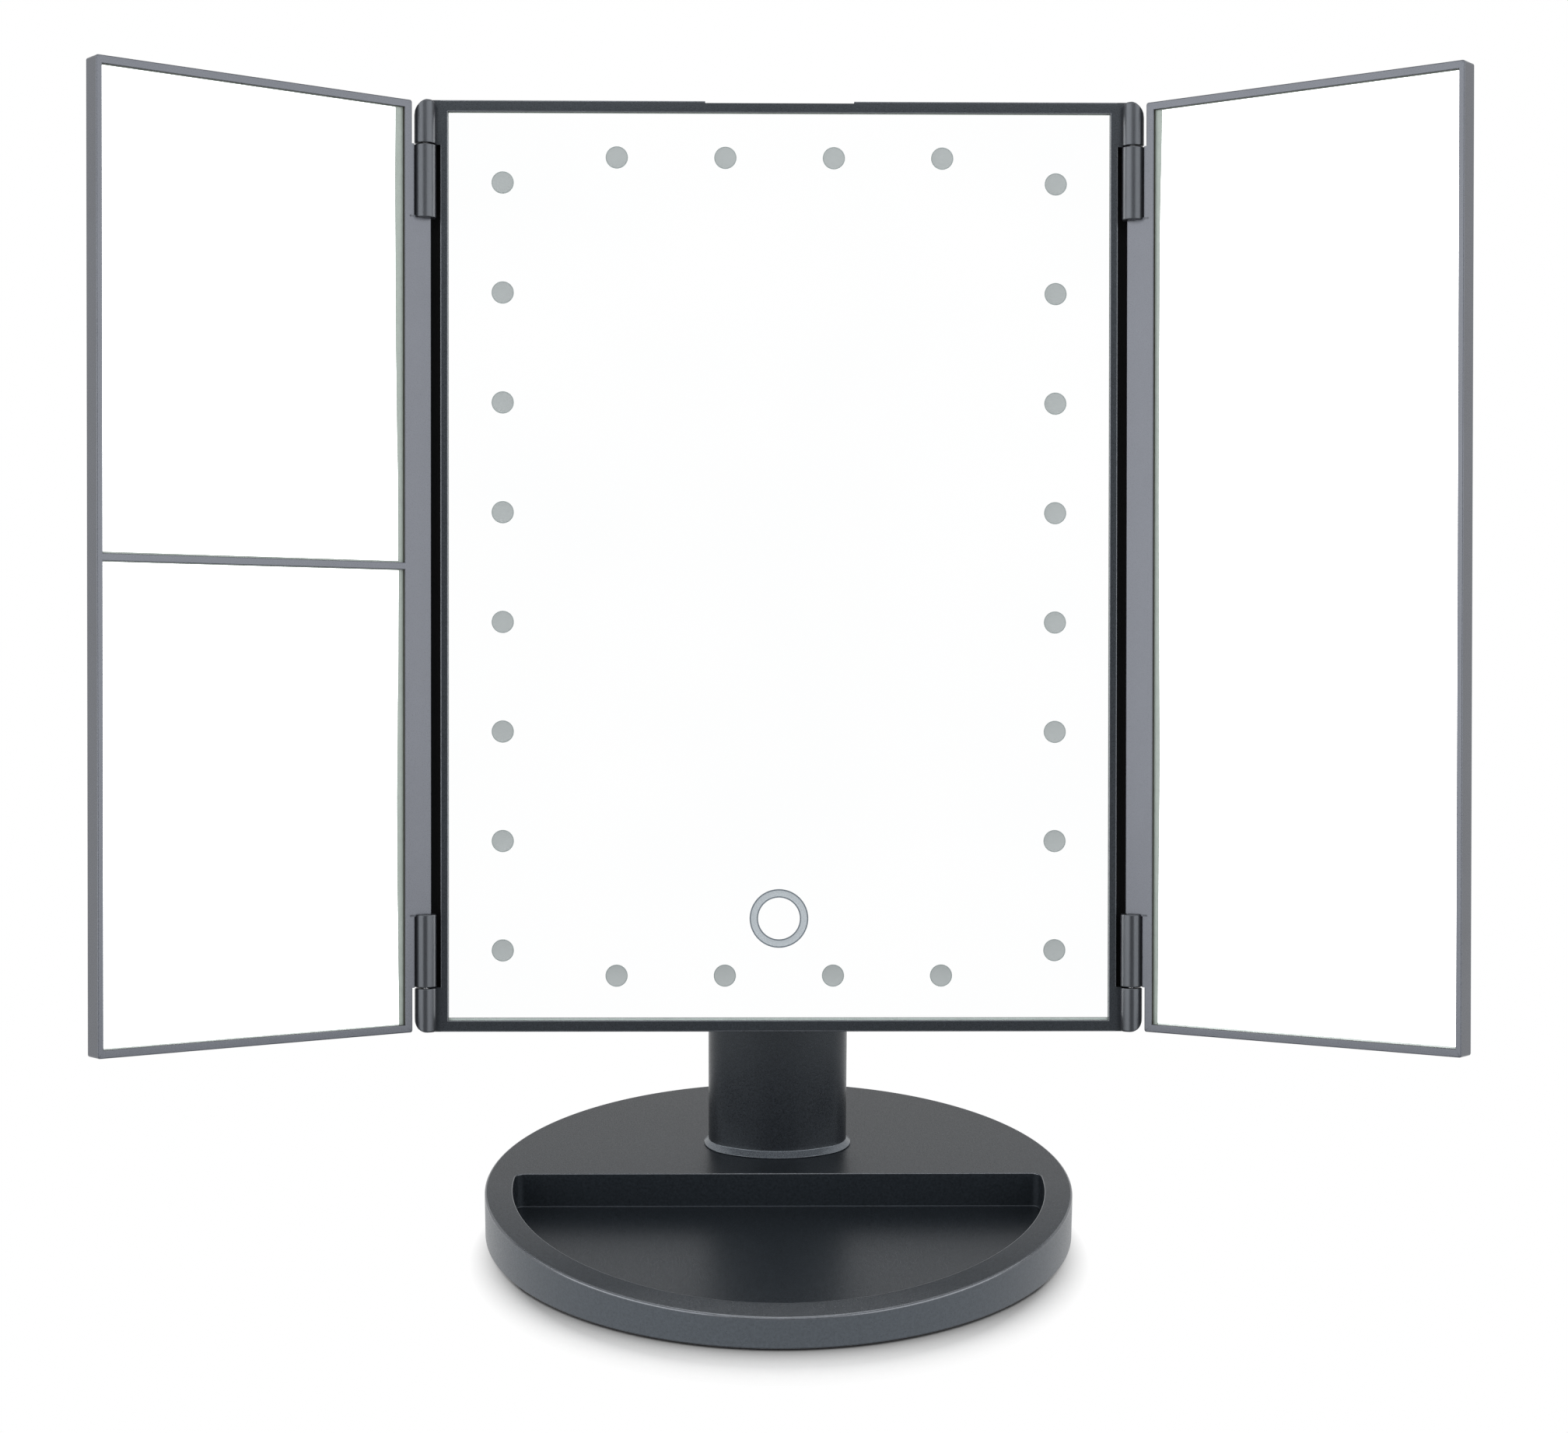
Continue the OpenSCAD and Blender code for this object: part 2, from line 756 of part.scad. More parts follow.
module rear_housing() {
    groove_y = door_y - SKIN;
    color(MOULD)
        on_head()
            difference() {
                union() {
                    housing_outside();
                    housing_room(SKIN, inner_y, cover_y + CUT);
                }
                difference() {
                    housing_room(0, seam_y, hump_y - shell);
                    housing_walls();
                }
                neck_slot();
                block([-bay_x, slot_y, bay_z], [bay_x, door_y + CUT, bay_top]);
                block([-door_x - slide_fit, door_y - slide_fit, bay_z - shell / 2 - slide_fit],
                    [door_x + slide_fit, hump_y + CUT, hump_top + CUT]);
                block([-door_x - tongue - slide_fit, groove_y, bay_z + shell],
                    [door_x + tongue + slide_fit, groove_y + tongue_t + 2 * slide_fit, hump_top + CUT]);
                translate([0, pivot_y, pivot_up])
                    bar_x(axle_r, -cheek_x - CUT, cheek_x + CUT);
                pcb_posts(small_screw_r, pcb_back, hump_y - shell - pilot_floor);
                for (i = [0, 1])
                    translate([0, lead_ys[i], cells_z[i]])
                        bar_x(lead_r + SKIN, bay_x - CUT, lead_xs[i]);
                usb_hole();
                switch_hole();
            }
}

module usb_hole() {
    block([hump_x - shell - CUT, pcb_back - SKIN, usb_z - usb_w / 2 - SKIN],
        [hump_x + CUT, pcb_back + usb_h + SKIN, usb_z + usb_w / 2 + SKIN]);
}

module switch_hole() {
    half = (knob_w + switch_travel) / 2 + slide_fit;
    mid_y = pcb_back + switch_h / 2;
    block([hump_x - shell - CUT, mid_y - knob_t / 2 - slide_fit, switch_z - half],
        [hump_x + CUT, mid_y + knob_t / 2 + slide_fit, switch_z + half]);
}

module rear_cover_screws() {
    color(STEEL)
        on_head()
            cover_screw_places() {
                bar_y(small_head_r, cover_y - screw_head_t, cover_y - SKIN);
                bar_y(small_screw_r, ledge_back + ledge_t + pilot_floor, cover_y - screw_head_t + SKIN);
            }
}

// ---- main mirror and its lights ----

// the centres of all lights, as [x, z]
function light_places() = concat(
    [for (side = [-1, 1], i = [0 : column_count - 1])
        [side * column_x, head_h / 2 + (i - (column_count - 1) / 2) * column_pitch]],
    [for (side = [-1, 1], i = [0 : row_count - 1])
        [(i - (row_count - 1) / 2) * row_pitch, side < 0 ? row_in : head_h - row_in]]);

module at_lights() {
    for (p = light_places())
        translate([p[0], 0, p[1]])
            children();
}

module ring(y0, y1, gap) {
    translate([0, 0, ring_up])
        difference() {
            bar_y(ring_r + gap, y0, y1);
            bar_y(ring_r - ring_band - gap, y0 - CUT, y1 + CUT);
        }
}

module main_mirror() {
    color(GLASS)
        on_head()
            difference() {
                block([-glass_x, lip_t, glass_z], [glass_x, glass_back, head_h - glass_z]);
                at_lights()
                    bar_y(window_r, lip_t - CUT, lip_t + window_t);
                ring(lip_t - CUT, lip_t + window_t, 0);
            }
}

module light_windows() {
    color([0.7, 0.73, 0.72])
        on_head()
            at_lights()
                bar_y(window_r, lip_t, lip_t + window_t);
}

module touch_ring() {
    color([0.66, 0.69, 0.72])
        on_head()
            ring(lip_t, lip_t + window_t, 0);
}

module touch_sensor() {
    color([0.72, 0.45, 0.2])
        on_head()
            translate([0, 0, ring_up])
                bar_y(ring_r + ring_band / 2, glass_back, glass_back + board_t);
}

module light_column(side) {
    low = min(row_in, (head_h - (column_count - 1) * column_pitch) / 2) - board_w / 2;
    color(BOARD)
        on_head()
            block([side * column_x - board_w / 2, board_y, low],
                [side * column_x + board_w / 2, carrier_y, head_h - low]);
}

module light_row(z) {
    color(BOARD)
        on_head()
            block([-column_x + board_w / 2 + SKIN, board_y, z - board_w / 2],
                [column_x - board_w / 2 - SKIN, carrier_y, z + board_w / 2]);
}

module light_board_left() {
    light_column(-1);
}

module light_board_right() {
    light_column(1);
}

module light_board_top() {
    light_row(head_h - row_in);
}

module light_board_bottom() {
    light_row(row_in);
}

module light_chips() {
    color([0.95, 0.9, 0.55])
        on_head()
            at_lights()
                block([-chip_w / 2, chip_y, -chip_w / 2], [chip_w / 2, board_y, chip_w / 2]);
}

module lead_places() {
    for (i = [0 : 2])
        translate([pcb_left + lead_in + i * lead_pitch, 0, row_in])
            children();
}

module light_leads() {
    color([0.7, 0.12, 0.1])
        on_head()
            lead_places()
                bar_y(lead_r, carrier_y, pcb_y);
}

module light_carrier() {
    color([0.9, 0.9, 0.9])
        on_head()
            difference() {
                union() {
                    block([-glass_x, carrier_y, glass_z], [glass_x, seam_y, head_h - glass_z]);
                    difference() {
                        block([-glass_x, glass_back, glass_z],
                            [glass_x, carrier_y + SKIN, head_h - glass_z]);
                        block([-glass_x + carrier_rim, glass_back - CUT, glass_z + carrier_rim],
                            [glass_x - carrier_rim, seam_y, head_h - glass_z - carrier_rim]);
                    }
                    translate([0, 0, ring_up])
                        bar_y(ring_r, glass_back + board_t, seam_y);
                }
                lead_places()
                    bar_y(lead_r + SKIN, glass_back, seam_y + CUT);
            }
}

// ---- power ----

module control_board() {
    color([0.1, 0.35, 0.2])
        on_head()
            difference() {
                block([pcb_left, pcb_y, pcb_z], [pcb_x, pcb_back, pcb_top]);
                pcb_posts(small_screw_r + SKIN, pcb_y - CUT, pcb_back + CUT);
            }
}

module control_board_screws() {
    color(STEEL)
        on_head() {
            pcb_posts(small_head_r, pcb_y - screw_head_t, pcb_y);
            pcb_posts(small_screw_r, pcb_y - SKIN, hump_y - shell - pilot_floor - screw_short);
        }
}

module usb_socket() {
    mouth = hump_x - usb_recess;
    color(STEEL)
        on_head()
            difference() {
                block([mouth - usb_d, pcb_back, usb_z - usb_w / 2],
                    [mouth, pcb_back + usb_h, usb_z + usb_w / 2]);
                block([mouth - usb_d + CUT, pcb_back + usb_wall, usb_z - usb_w / 2 + usb_wall],
                    [mouth + CUT, pcb_back + usb_h - usb_wall, usb_z + usb_w / 2 - usb_wall]);
            }
}

module switch_body() {
    face = hump_x - shell - SKIN;
    mid_y = pcb_back + switch_h / 2;
    half = (knob_w + switch_travel) / 2 + slide_fit;
    color([0.25, 0.25, 0.27])
        on_head()
            difference() {
                block([face - switch_d, pcb_back, switch_z - switch_l / 2],
                    [face, pcb_back + switch_h, switch_z + switch_l / 2]);
                block([face - switch_d / 2, mid_y - knob_t / 2 - SKIN, switch_z - half],
                    [face + CUT, mid_y + knob_t / 2 + SKIN, switch_z + half]);
            }
}

module switch_knob() {
    mid_y = pcb_back + switch_h / 2;
    low = switch_z - (knob_w + switch_travel) / 2;
    color([0.1, 0.1, 0.1])
        on_head()
            block([hump_x - shell - switch_d / 2, mid_y - knob_t / 2, low],
                [hump_x + knob_out, mid_y + knob_t / 2, low + knob_w]);
}

module battery_cells() {
    nub_l = 1;
    nub_r = 2.6;
    color([0.75, 0.55, 0.25])
        on_head()
            for (z = cells_z, i = [0, 1])
                translate([(i - 1) * cell_l + i * SKIN, cell_y, z]) {
                    bar_x(cell_r, 0, cell_l - nub_l);
                    bar_x(nub_r, cell_l - nub_l - SKIN, cell_l);
                }
}

module battery_springs() {
    contact_r = 5.6;
    color(STEEL)
        on_head()
            for (z = cells_z)
                translate([0, cell_y, z]) {
                    bar_x(contact_r, -bay_x, -bay_x + battery_plate_t);
                    bar_x(cell_r / 2, -bay_x, -cell_l);
                }
}

module battery_plates() {
    color(STEEL)
        on_head()
            for (z = cells_z)
                translate([0, cell_y, z])
                    block([cell_l + SKIN, -cell_r / 2, -cell_r / 2], [bay_x, cell_r / 2, cell_r / 2]);
}

module battery_leads() {
    corner_r = lead_r + SKIN / 2;
    color([0.1, 0.1, 0.1])
        on_head()
            for (i = [0, 1])
                translate([lead_xs[i], lead_ys[i], 0]) {
                    translate([0, 0, lead_low])
                        cylinder(r = lead_r, h = cells_z[i] - lead_low);
                    translate([0, 0, cells_z[i]])
                        bar_x(lead_r, bay_x - lead_xs[i], 0);
                    translate([0, 0, lead_low])
                        bar_y(lead_r, pcb_back - lead_ys[i], 0);
                    for (z = [lead_low, cells_z[i]])
                        translate([0, 0, z])
                            sphere(r = corner_r);
                }
}

module battery_door() {
    low = bay_z - shell / 2;
    ribs = 5;
    rib_w = 1.2;
    rib_d = 0.4;
    rib_up = 4;
    color(MOULD)
        on_head() {
            difference() {
                intersection() {
                    housing_outside();
                    block([-door_x, door_y, low], [door_x, hump_y + CUT, hump_top]);
                }
                for (i = [0 : ribs - 1])
                    translate([0, 0, low + rib_up + 2 * i * rib_w])
                        block([-hump_corner, hump_y - rib_d, 0], [hump_corner, hump_y + CUT, rib_w]);
            }
            for (side = [-1, 1])
                translate([side * door_x, 0, 0])
                    block([-tongue, door_y + slide_fit / 2, bay_z + shell + slide_fit],
                        [tongue, door_y + slide_fit / 2 + tongue_t, bay_top]);
        }
}

// ---- tilt hardware ----

module on_axle() {
    on_head()
        translate([0, pivot_y, pivot_up])
            children();
}

module tilt_axle() {
    color(STEEL)
        on_axle() {
            bar_x(axle_r, -cheek_x - SKIN, cheek_x + spring_washer_t + nut_t + axle_tip);
            bar_x(axle_head_r, -cheek_x - axle_head_t, -cheek_x);
        }
}

module tilt_nut() {
    color(STEEL)
        on_axle()
            translate([cheek_x + spring_washer_t, 0, 0])
                rotate([0, 90, 0])
                    difference() {
                        cylinder(r = nut_r, h = nut_t, $fn = 6);
                        translate([0, 0, -CUT])
                            cylinder(r = axle_r, h = nut_t + 2 * CUT);
                    }
}

module washer(r, from, to) {
    difference() {
        bar_x(r, from, to);
        bar_x(axle_r + SKIN, from - CUT, to + CUT);
    }
}

module spring_washer() {
    color(STEEL)
        on_axle()
            washer(nut_r - SKIN, cheek_x, cheek_x + spring_washer_t);
}

module friction_washers() {
    color([0.85, 0.85, 0.8])
        on_axle()
            for (side = [-1, 1])
                mirror([side < 0 ? 1 : 0, 0, 0])
                    washer(washer_r, slot_x - washer_t, slot_x);
}

module hinge_pins() {
    color(STEEL)
        on_head()
            four_ends()
                translate([hinge_x, -hinge_proud, head_knuckle_l - pin_in_head])
                    cylinder(r = pin_r, h = pin_in_head + knuckle_gap + pin_in_wing);
}

// ---- wings ----

module wing_knuckle() {
    translate([0, 0, knuckle_z0])
        difference() {
            union() {
                cylinder(r = knuckle_r, h = wing_knuckle_l);
                block([0, -web, 0], [wing_in - web, strip_t, wing_knuckle_l]);
                block([0, 0, 0], [wing_in + web, strip_t, wing_knuckle_l]);
            }
            translate([0, 0, -CUT])
                cylinder(r = pin_r + pin_fit, h = pin_in_wing + 2 * CUT);
        }
}

// the openings in the lip, one for each mirror in the wing
module wing_views(mirrors) {
    low = wing_short + wing_lip;
    high = wing_top - wing_lip;
    view = (high - low - (mirrors - 1) * wing_bar) / mirrors;
    for (i = [0 : mirrors - 1])
        translate([0, 0, low + i * (view + wing_bar)])
            block([wing_in + wing_lip, -CUT, 0], [wing_out - wing_lip, wing_lip_t + CUT, view]);
}

module wing_frame(mirrors) {
    color(MOULD_WING) {
        difference() {
            union() {
                block([wing_in, 0, wing_short], [wing_out, wing_t, wing_top]);
                block([-strip_past, 0, knuckle_z1 - web],
                    [wing_in + web, strip_t, head_h - knuckle_z1 + web]);
            }
            wing_views(mirrors);
            block([seat_in, wing_lip_t, seat_z0], [seat_out, wing_t + CUT, seat_z1]);
        }
        wing_knuckle();
        translate([0, 0, head_h])
            mirror([0, 0, 1])
                wing_knuckle();
    }
}

module wing_glass(z0, z1) {
    color(GLASS)
        block([seat_in + glass_fit, wing_lip_t, z0], [seat_out - glass_fit, wing_glass_back, z1]);
}

module wing_back() {
    color(MOULD_WING)
        block([seat_in + SKIN, wing_back_y, seat_z0 + SKIN], [seat_out - SKIN, wing_t, seat_z1 - SKIN]);
}

module wing_tape() {
    rows = 4;
    margin = 3;
    reach = (seat_z1 - seat_z0 - 2 * margin - tape_w) / (rows - 1);
    color([0.9, 0.9, 0.85])
        for (i = [0 : rows - 1])
            translate([0, 0, seat_z0 + margin + i * reach])
                block([seat_in + margin, wing_glass_back, 0], [seat_out - margin, wing_back_y, tape_w]);
}

module left_wing_frame() {
    on_wing(-1)
        wing_frame(2);
}

module left_wing_back() {
    on_wing(-1)
        wing_back();
}

module left_upper_mirror() {
    on_wing(-1)
        wing_glass(head_h / 2 + glass_fit, seat_z1 - glass_fit);
}

module left_lower_mirror() {
    on_wing(-1)
        wing_glass(seat_z0 + glass_fit, head_h / 2 - glass_fit);
}

module left_wing_tape() {
    on_wing(-1)
        wing_tape();
}

module right_wing_frame() {
    on_wing(1)
        wing_frame(1);
}

module right_wing_back() {
    on_wing(1)
        wing_back();
}

module right_mirror() {
    on_wing(1)
        wing_glass(seat_z0 + glass_fit, seat_z1 - glass_fit);
}

module right_wing_tape() {
    on_wing(1)
        wing_tape();
}

base_shell();
base_plate();
base_plate_screws();
rubber_feet();
neck();
neck_rear_cover();
neck_screws();
head_frame();
rear_cover();
rear_cover_screws();
rear_housing();
light_carrier();
main_mirror();
light_windows();
touch_ring();
touch_sensor();
light_board_left();
light_board_right();
light_board_top();
light_board_bottom();
light_chips();
light_leads();
control_board();
control_board_screws();
usb_socket();
switch_body();
switch_knob();
battery_cells();
battery_springs();
battery_plates();
battery_leads();
battery_door();
tilt_axle();
tilt_nut();
spring_washer();
friction_washers();
hinge_pins();
left_wing_frame();
left_wing_back();
left_upper_mirror();
left_lower_mirror();
left_wing_tape();
right_wing_frame();
right_wing_back();
right_mirror();
right_wing_tape();
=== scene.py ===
import math
import bmesh
import bpy
from mathutils import Matrix, Vector


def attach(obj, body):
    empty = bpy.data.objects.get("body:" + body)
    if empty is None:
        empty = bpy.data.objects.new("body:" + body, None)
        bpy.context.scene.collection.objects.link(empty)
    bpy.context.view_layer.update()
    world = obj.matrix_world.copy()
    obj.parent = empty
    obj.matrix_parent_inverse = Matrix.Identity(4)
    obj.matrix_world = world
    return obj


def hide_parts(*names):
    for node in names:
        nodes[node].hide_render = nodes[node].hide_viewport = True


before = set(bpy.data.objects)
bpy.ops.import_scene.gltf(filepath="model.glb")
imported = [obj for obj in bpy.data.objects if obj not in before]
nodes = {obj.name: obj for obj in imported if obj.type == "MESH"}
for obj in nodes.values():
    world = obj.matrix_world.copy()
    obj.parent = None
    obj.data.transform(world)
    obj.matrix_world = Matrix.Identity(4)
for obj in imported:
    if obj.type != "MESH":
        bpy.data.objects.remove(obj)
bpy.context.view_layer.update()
print("frame loaded:", len(nodes), "nodes")

mm = 0.001
weld = 0.0005  # points nearer than this are one; in millimetres, as are the next two
tiny = 0.01
hair = 0.004  # keeps faces that would share a plane apart

# where the leaning panel and its two wings stand; lengths in millimetres, angles in degrees
panel = dict(tilt=11.7, axisBack=27.0, axisUp=77.7, axisDepth=16.4, axisHeight=30.0, height=240.0,
             hingeOut=91.1, hingeProud=1.0, swing=37.5)


def panelMatrix():
    lean = Matrix.Rotation(-math.radians(panel["tilt"]), 4, "X")
    toAxis = Matrix.Translation((0, panel["axisBack"], panel["axisUp"]))
    fromAxis = Matrix.Translation((0, -panel["axisDepth"], -panel["axisHeight"]))
    return Matrix.Scale(mm, 4) @ toAxis @ lean @ fromAxis


def wingMatrix(side):
    mirror = Matrix.Scale(side, 4, (1, 0, 0))
    toHinge = Matrix.Translation((panel["hingeOut"], -panel["hingeProud"], 0))
    return panelMatrix() @ mirror @ toHinge @ Matrix.Rotation(-math.radians(panel["swing"]), 4, "Z")


standPlace = Matrix.Scale(mm, 4)
panelPlace = panelMatrix()
leftPlace = wingMatrix(-1)
rightPlace = wingMatrix(1)


# mesh helpers; points are in millimetres, and a place matrix takes them to the world

# joins loops of points with quads and gives back the rows of vertices
def loft(mesh, loops, around=True):
    rows = [[mesh.verts.new(p) for p in loop] for loop in loops]
    pairs = list(zip(rows, rows[1:]))
    if around:
        pairs.append((rows[-1], rows[0]))
    for low, high in pairs:
        for i in range(len(low)):
            j = (i + 1) % len(low)
            mesh.faces.new((low[i], low[j], high[j], high[i]))
    return rows


def cap(mesh, row, middle=None):
    if middle is None:
        mesh.faces.new(row)
        return
    centre = mesh.verts.new(middle)
    for i, v in enumerate(row):
        mesh.faces.new((v, row[(i + 1) % len(row)], centre))


def cappedLoft(mesh, loops):
    rows = loft(mesh, loops, around=False)
    cap(mesh, rows[0])
    cap(mesh, rows[-1])


def prism(mesh, outline, low, high):
    cappedLoft(mesh, [[(x, y, z) for x, y in outline] for z in (low, high)])


# rounds each corner of an open line of flat points, and takes at most a share of each side for it
def roundCorners(points, radius, steps, share=0.49):
    line = [points[0]]
    for before, corner, after in zip(points, points[1:], points[2:]):
        a, b, c = Vector(before), Vector(corner), Vector(after)
        toA, toC = (a - b).normalized(), (c - b).normalized()
        half = toA.angle(toC) / 2
        reach = min(radius / math.tan(half), (a - b).length * share, (c - b).length * share)
        middle = b + (toA + toC).normalized() * reach / math.cos(half)
        start, end = b + toA * reach - middle, b + toC * reach - middle
        turn = start.angle_signed(end)
        for i in range(steps + 1):
            angle = -turn * i / steps
            x = start.x * math.cos(angle) - start.y * math.sin(angle)
            y = start.x * math.sin(angle) + start.y * math.cos(angle)
            line.append((middle.x + x, middle.y + y))
    line.append(points[-1])
    return line


def circlePoints(x, z, radius, count=48):
    turns = [2 * math.pi * i / count for i in range(count)]
    return [(x + radius * math.cos(t), z + radius * math.sin(t)) for t in turns]


# keeps flat faces flat, so that only the rounded edges catch the light
def evenNormals(piece):
    normals = piece.modifiers.new("evenNormals", "WEIGHTED_NORMAL")
    normals.keep_sharp = True


# paints the narrow faces of the rounded edges, above a height, with a lighter and glossier finish: a painted
# highlight along the edges
def paintEdgeHighlights(mesh, index, low=-1.0, narrow=0.2):
    for f in mesh.faces:
        slim = min(e.calc_length() for e in f.edges) < narrow
        if slim and not f.material_index and f.calc_center_median().z > low:
            f.material_index = index


def paintFaces(mesh, start, index):
    for f in list(mesh.faces)[start:]:
        f.material_index = index


def meshData(name, mesh):
    data = bpy.data.meshes.new(name)
    mesh.to_mesh(data)
    mesh.free()
    return data


def newObject(name, data):
    item = bpy.data.objects.new(name, data)
    bpy.context.scene.collection.objects.link(item)
    return item


def registerPiece(piece, body, node):
    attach(piece, body)
    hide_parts(node)


# makes a piece of the scene from a mesh in millimetres; edges that fold less than smooth degrees look round
def addPiece(name, mesh, place, body, materials, node, smooth=35, even=False):
    bmesh.ops.remove_doubles(mesh, verts=mesh.verts, dist=weld)
    mesh.transform(place)
    bmesh.ops.recalc_face_normals(mesh, faces=mesh.faces)
    for f in mesh.faces:
        f.smooth = True
    for e in mesh.edges:
        if len(e.link_faces) == 2:
            e.smooth = e.calc_face_angle(0) < math.radians(smooth)
    data = meshData(name, mesh)
    for m in materials:
        data.materials.append(m)
    piece = newObject(name, data)
    if even:
        evenNormals(piece)
    registerPiece(piece, body, node)


# copies of the moulded solids with their long edges softened; lengths in metres, least in millimetres

soft = dict(level=2e-6, sameWay=0.9999, weld=1e-7, fold=28, least=1.5, segments=3)


# groups of touching faces that share a plane
def planeGroups(mesh):
    done, groups = set(), []
    for first in mesh.faces:
        if first in done:
            continue
        done.add(first)
        group, stack = [first], [first]
        height = first.normal.dot(first.verts[0].co)
        while stack:
            for e in stack.pop().edges:
                for f in e.link_faces:
                    level = all(abs(first.normal.dot(v.co) - height) < soft["level"] for v in f.verts)
                    if f not in done and level and first.normal.dot(f.normal) > soft["sameWay"]:
                        done.add(f)
                        group.append(f)
                        stack.append(f)
        groups.append(group)
    return groups


# whether a group is bounded by one closed line, without holes
def oneOutline(group):
    inside = set(group)
    edges = {e for f in group for e in f.edges if sum(g in inside for g in e.link_faces) == 1}
    uses = {}
    for e in edges:
        for v in e.verts:
            uses[v] = uses.get(v, 0) + 1
    if any(n != 2 for n in uses.values()):
        return False
    stack = [edges.pop()]
    while stack:
        for v in stack.pop().verts:
            for e in v.link_edges:
                if e in edges:
                    edges.remove(e)
                    stack.append(e)
    return not edges


# width is the rounding of the edges in millimetres
def softened(name, node, body, material, width, slot="abs_black"):
    mesh = bmesh.new()
    mesh.from_mesh(nodes[node].data)
    bmesh.ops.remove_doubles(mesh, verts=mesh.verts, dist=soft["weld"])
    spare = []
    for group in planeGroups(mesh):
        if len(group) > 1 and oneOutline(group):
            inside = set(group)
            edges = dict.fromkeys(e for f in group for e in f.edges)
            spare += [e for e in edges if all(f in inside for f in e.link_faces)]
    bmesh.ops.dissolve_edges(mesh, edges=spare, use_verts=False, use_face_split=False)
    weight = mesh.edges.layers.float.new("bevel_weight_edge")
    for e in mesh.edges:
        if e.calc_face_angle(0) > math.radians(soft["fold"]) and e.calc_length() > soft["least"] * mm:
            e[weight] = 1
    for f in mesh.faces:
        f.smooth = True
        f.material_index = 0
    data = meshData(name, mesh)
    for layer in ("custom_normal", "sharp_face", "sharp_edge"):
        if layer in data.attributes:
            data.attributes.remove(data.attributes[layer])
    data.materials.append(material)
    piece = newObject(name, data)
    bevel = piece.modifiers.new("softEdges", "BEVEL")
    bevel.width = width * mm
    bevel.segments = soft["segments"]
    bevel.limit_method = "WEIGHT"
    bevel.use_clamp_overlap = False
    bevel.loop_slide = False
    bevel.miter_outer = "MITER_ARC"
    evenNormals(piece)
    registerPiece(piece, body, node)


# materials

def newMaterial(name):
    material = bpy.data.materials.new(name)
    material.use_nodes = True
    return material, material.node_tree, material.node_tree.nodes["Principled BSDF"]


# sets a node's inputs; each value is a socket or a constant
def setInputs(tree, node, values):
    for key, value in values.items():
        if isinstance(value, bpy.types.NodeSocket):
            tree.links.new(value, node.inputs[key])
        else:
            node.inputs[key].default_value = value


def noise(tree, scale, detail, roughness=0.55):
    coords = tree.nodes.new("ShaderNodeTexCoord")
    node = tree.nodes.new("ShaderNodeTexNoise")
    setInputs(tree, node, {"Vector": coords.outputs["Object"], "Scale": scale, "Detail": detail,
                           "Roughness": roughness})
    return node.outputs["Fac"]


def rampFrom(tree, source, dark, light, low=0.3, high=0.7):
    ramp = tree.nodes.new("ShaderNodeValToRGB")
    for stop, place, colour in zip(ramp.color_ramp.elements, (low, high), (dark, light)):
        stop.position = place
        stop.color = (*colour, 1)
    setInputs(tree, ramp, {"Fac": source})
    return ramp.outputs["Color"]


def rangeFrom(tree, source, low, high, fromLow=0.3, fromHigh=0.7):
    span = tree.nodes.new("ShaderNodeMapRange")
    setInputs(tree, span, {"Value": source, "From Min": fromLow, "From Max": fromHigh, "To Min": low,
                           "To Max": high})
    return span.outputs["Result"]


# tone is the middle colour; cloud and grain count the clouds and grains in a metre
def finish(name, tone, rough=0.4, roughSpread=0.05, metallic=0.0, spread=0.1, cloud=60, grain=3600,
           bump=0.3, depth=0.00002, gloss=0.35, tint=(1, 1, 1), smoothest=0.02):
    material, tree, shader = newMaterial(name)
    dark, light = [c * (1 - spread) for c in tone], [min(1, c * (1 + spread)) for c in tone]
    clouds = noise(tree, cloud, 3)
    grains = noise(tree, grain, 2, 0.6)
    sheen = rangeFrom(tree, grains, max(smoothest, rough - roughSpread), min(1, rough + roughSpread))
    relief = tree.nodes.new("ShaderNodeBump")
    setInputs(tree, relief, {"Height": grains, "Strength": bump, "Distance": depth})
    setInputs(tree, shader, {"Base Color": rampFrom(tree, clouds, dark, light), "Roughness": sheen,
                             "Normal": relief.outputs["Normal"], "Metallic": metallic,
                             "Specular IOR Level": gloss, "Specular Tint": (*tint, 1)})
    return material


def mirrorSilver(name, dark=(0.985, 0.99, 0.991), light=(1.0, 1.0, 1.0), cloud=14):
    material, tree, shader = newMaterial(name)
    film = rampFrom(tree, noise(tree, cloud, 2), dark, light)
    setInputs(tree, shader, {"Base Color": film, "Metallic": 1.0, "Roughness": 0.0})
    return material


frameTone = (0.0102, 0.012, 0.0148)
moulded = dict(cloud=1500, grain=3400)
ground = dict(cloud=400, grain=2500)
frosted = dict(spread=0.03, bump=0.15, gloss=0.2)
framePlastic = finish("frame plastic", frameTone, rough=0.3, spread=0.25, bump=0.7, gloss=0.46,
                      tint=(0.84, 0.92, 1.0), **moulded)
neckPlastic = finish("neck plastic", frameTone, rough=0.32, roughSpread=0.1, spread=0.35, bump=1.0,
                     gloss=0.52, tint=(0.84, 0.92, 1.0), **moulded)
basePlastic = finish("base plastic", (0.0108, 0.0134, 0.0165), rough=0.35, roughSpread=0.1, spread=0.35,
                     bump=1.0, gloss=0.29, tint=(0.78, 0.88, 1.0), **moulded)
# a lighter copy of the base plastic for the outer wall: painted light, as from the white floor below it
litSidePlastic = finish("base side plastic with painted light", (0.023, 0.0275, 0.0325), rough=0.36, roughSpread=0.1, spread=0.3,
                     bump=0.9, gloss=0.8, tint=(0.82, 0.9, 1.0), **moulded)
# a much lighter copy of the neck plastic for the flange's bevel: painted highlight
flangeHighlightPlastic = finish("neck flange painted highlight", (0.078, 0.088, 0.1), rough=0.27, spread=0.2, bump=0.6,
                       gloss=1.0, tint=(0.85, 0.92, 1.0), **moulded)
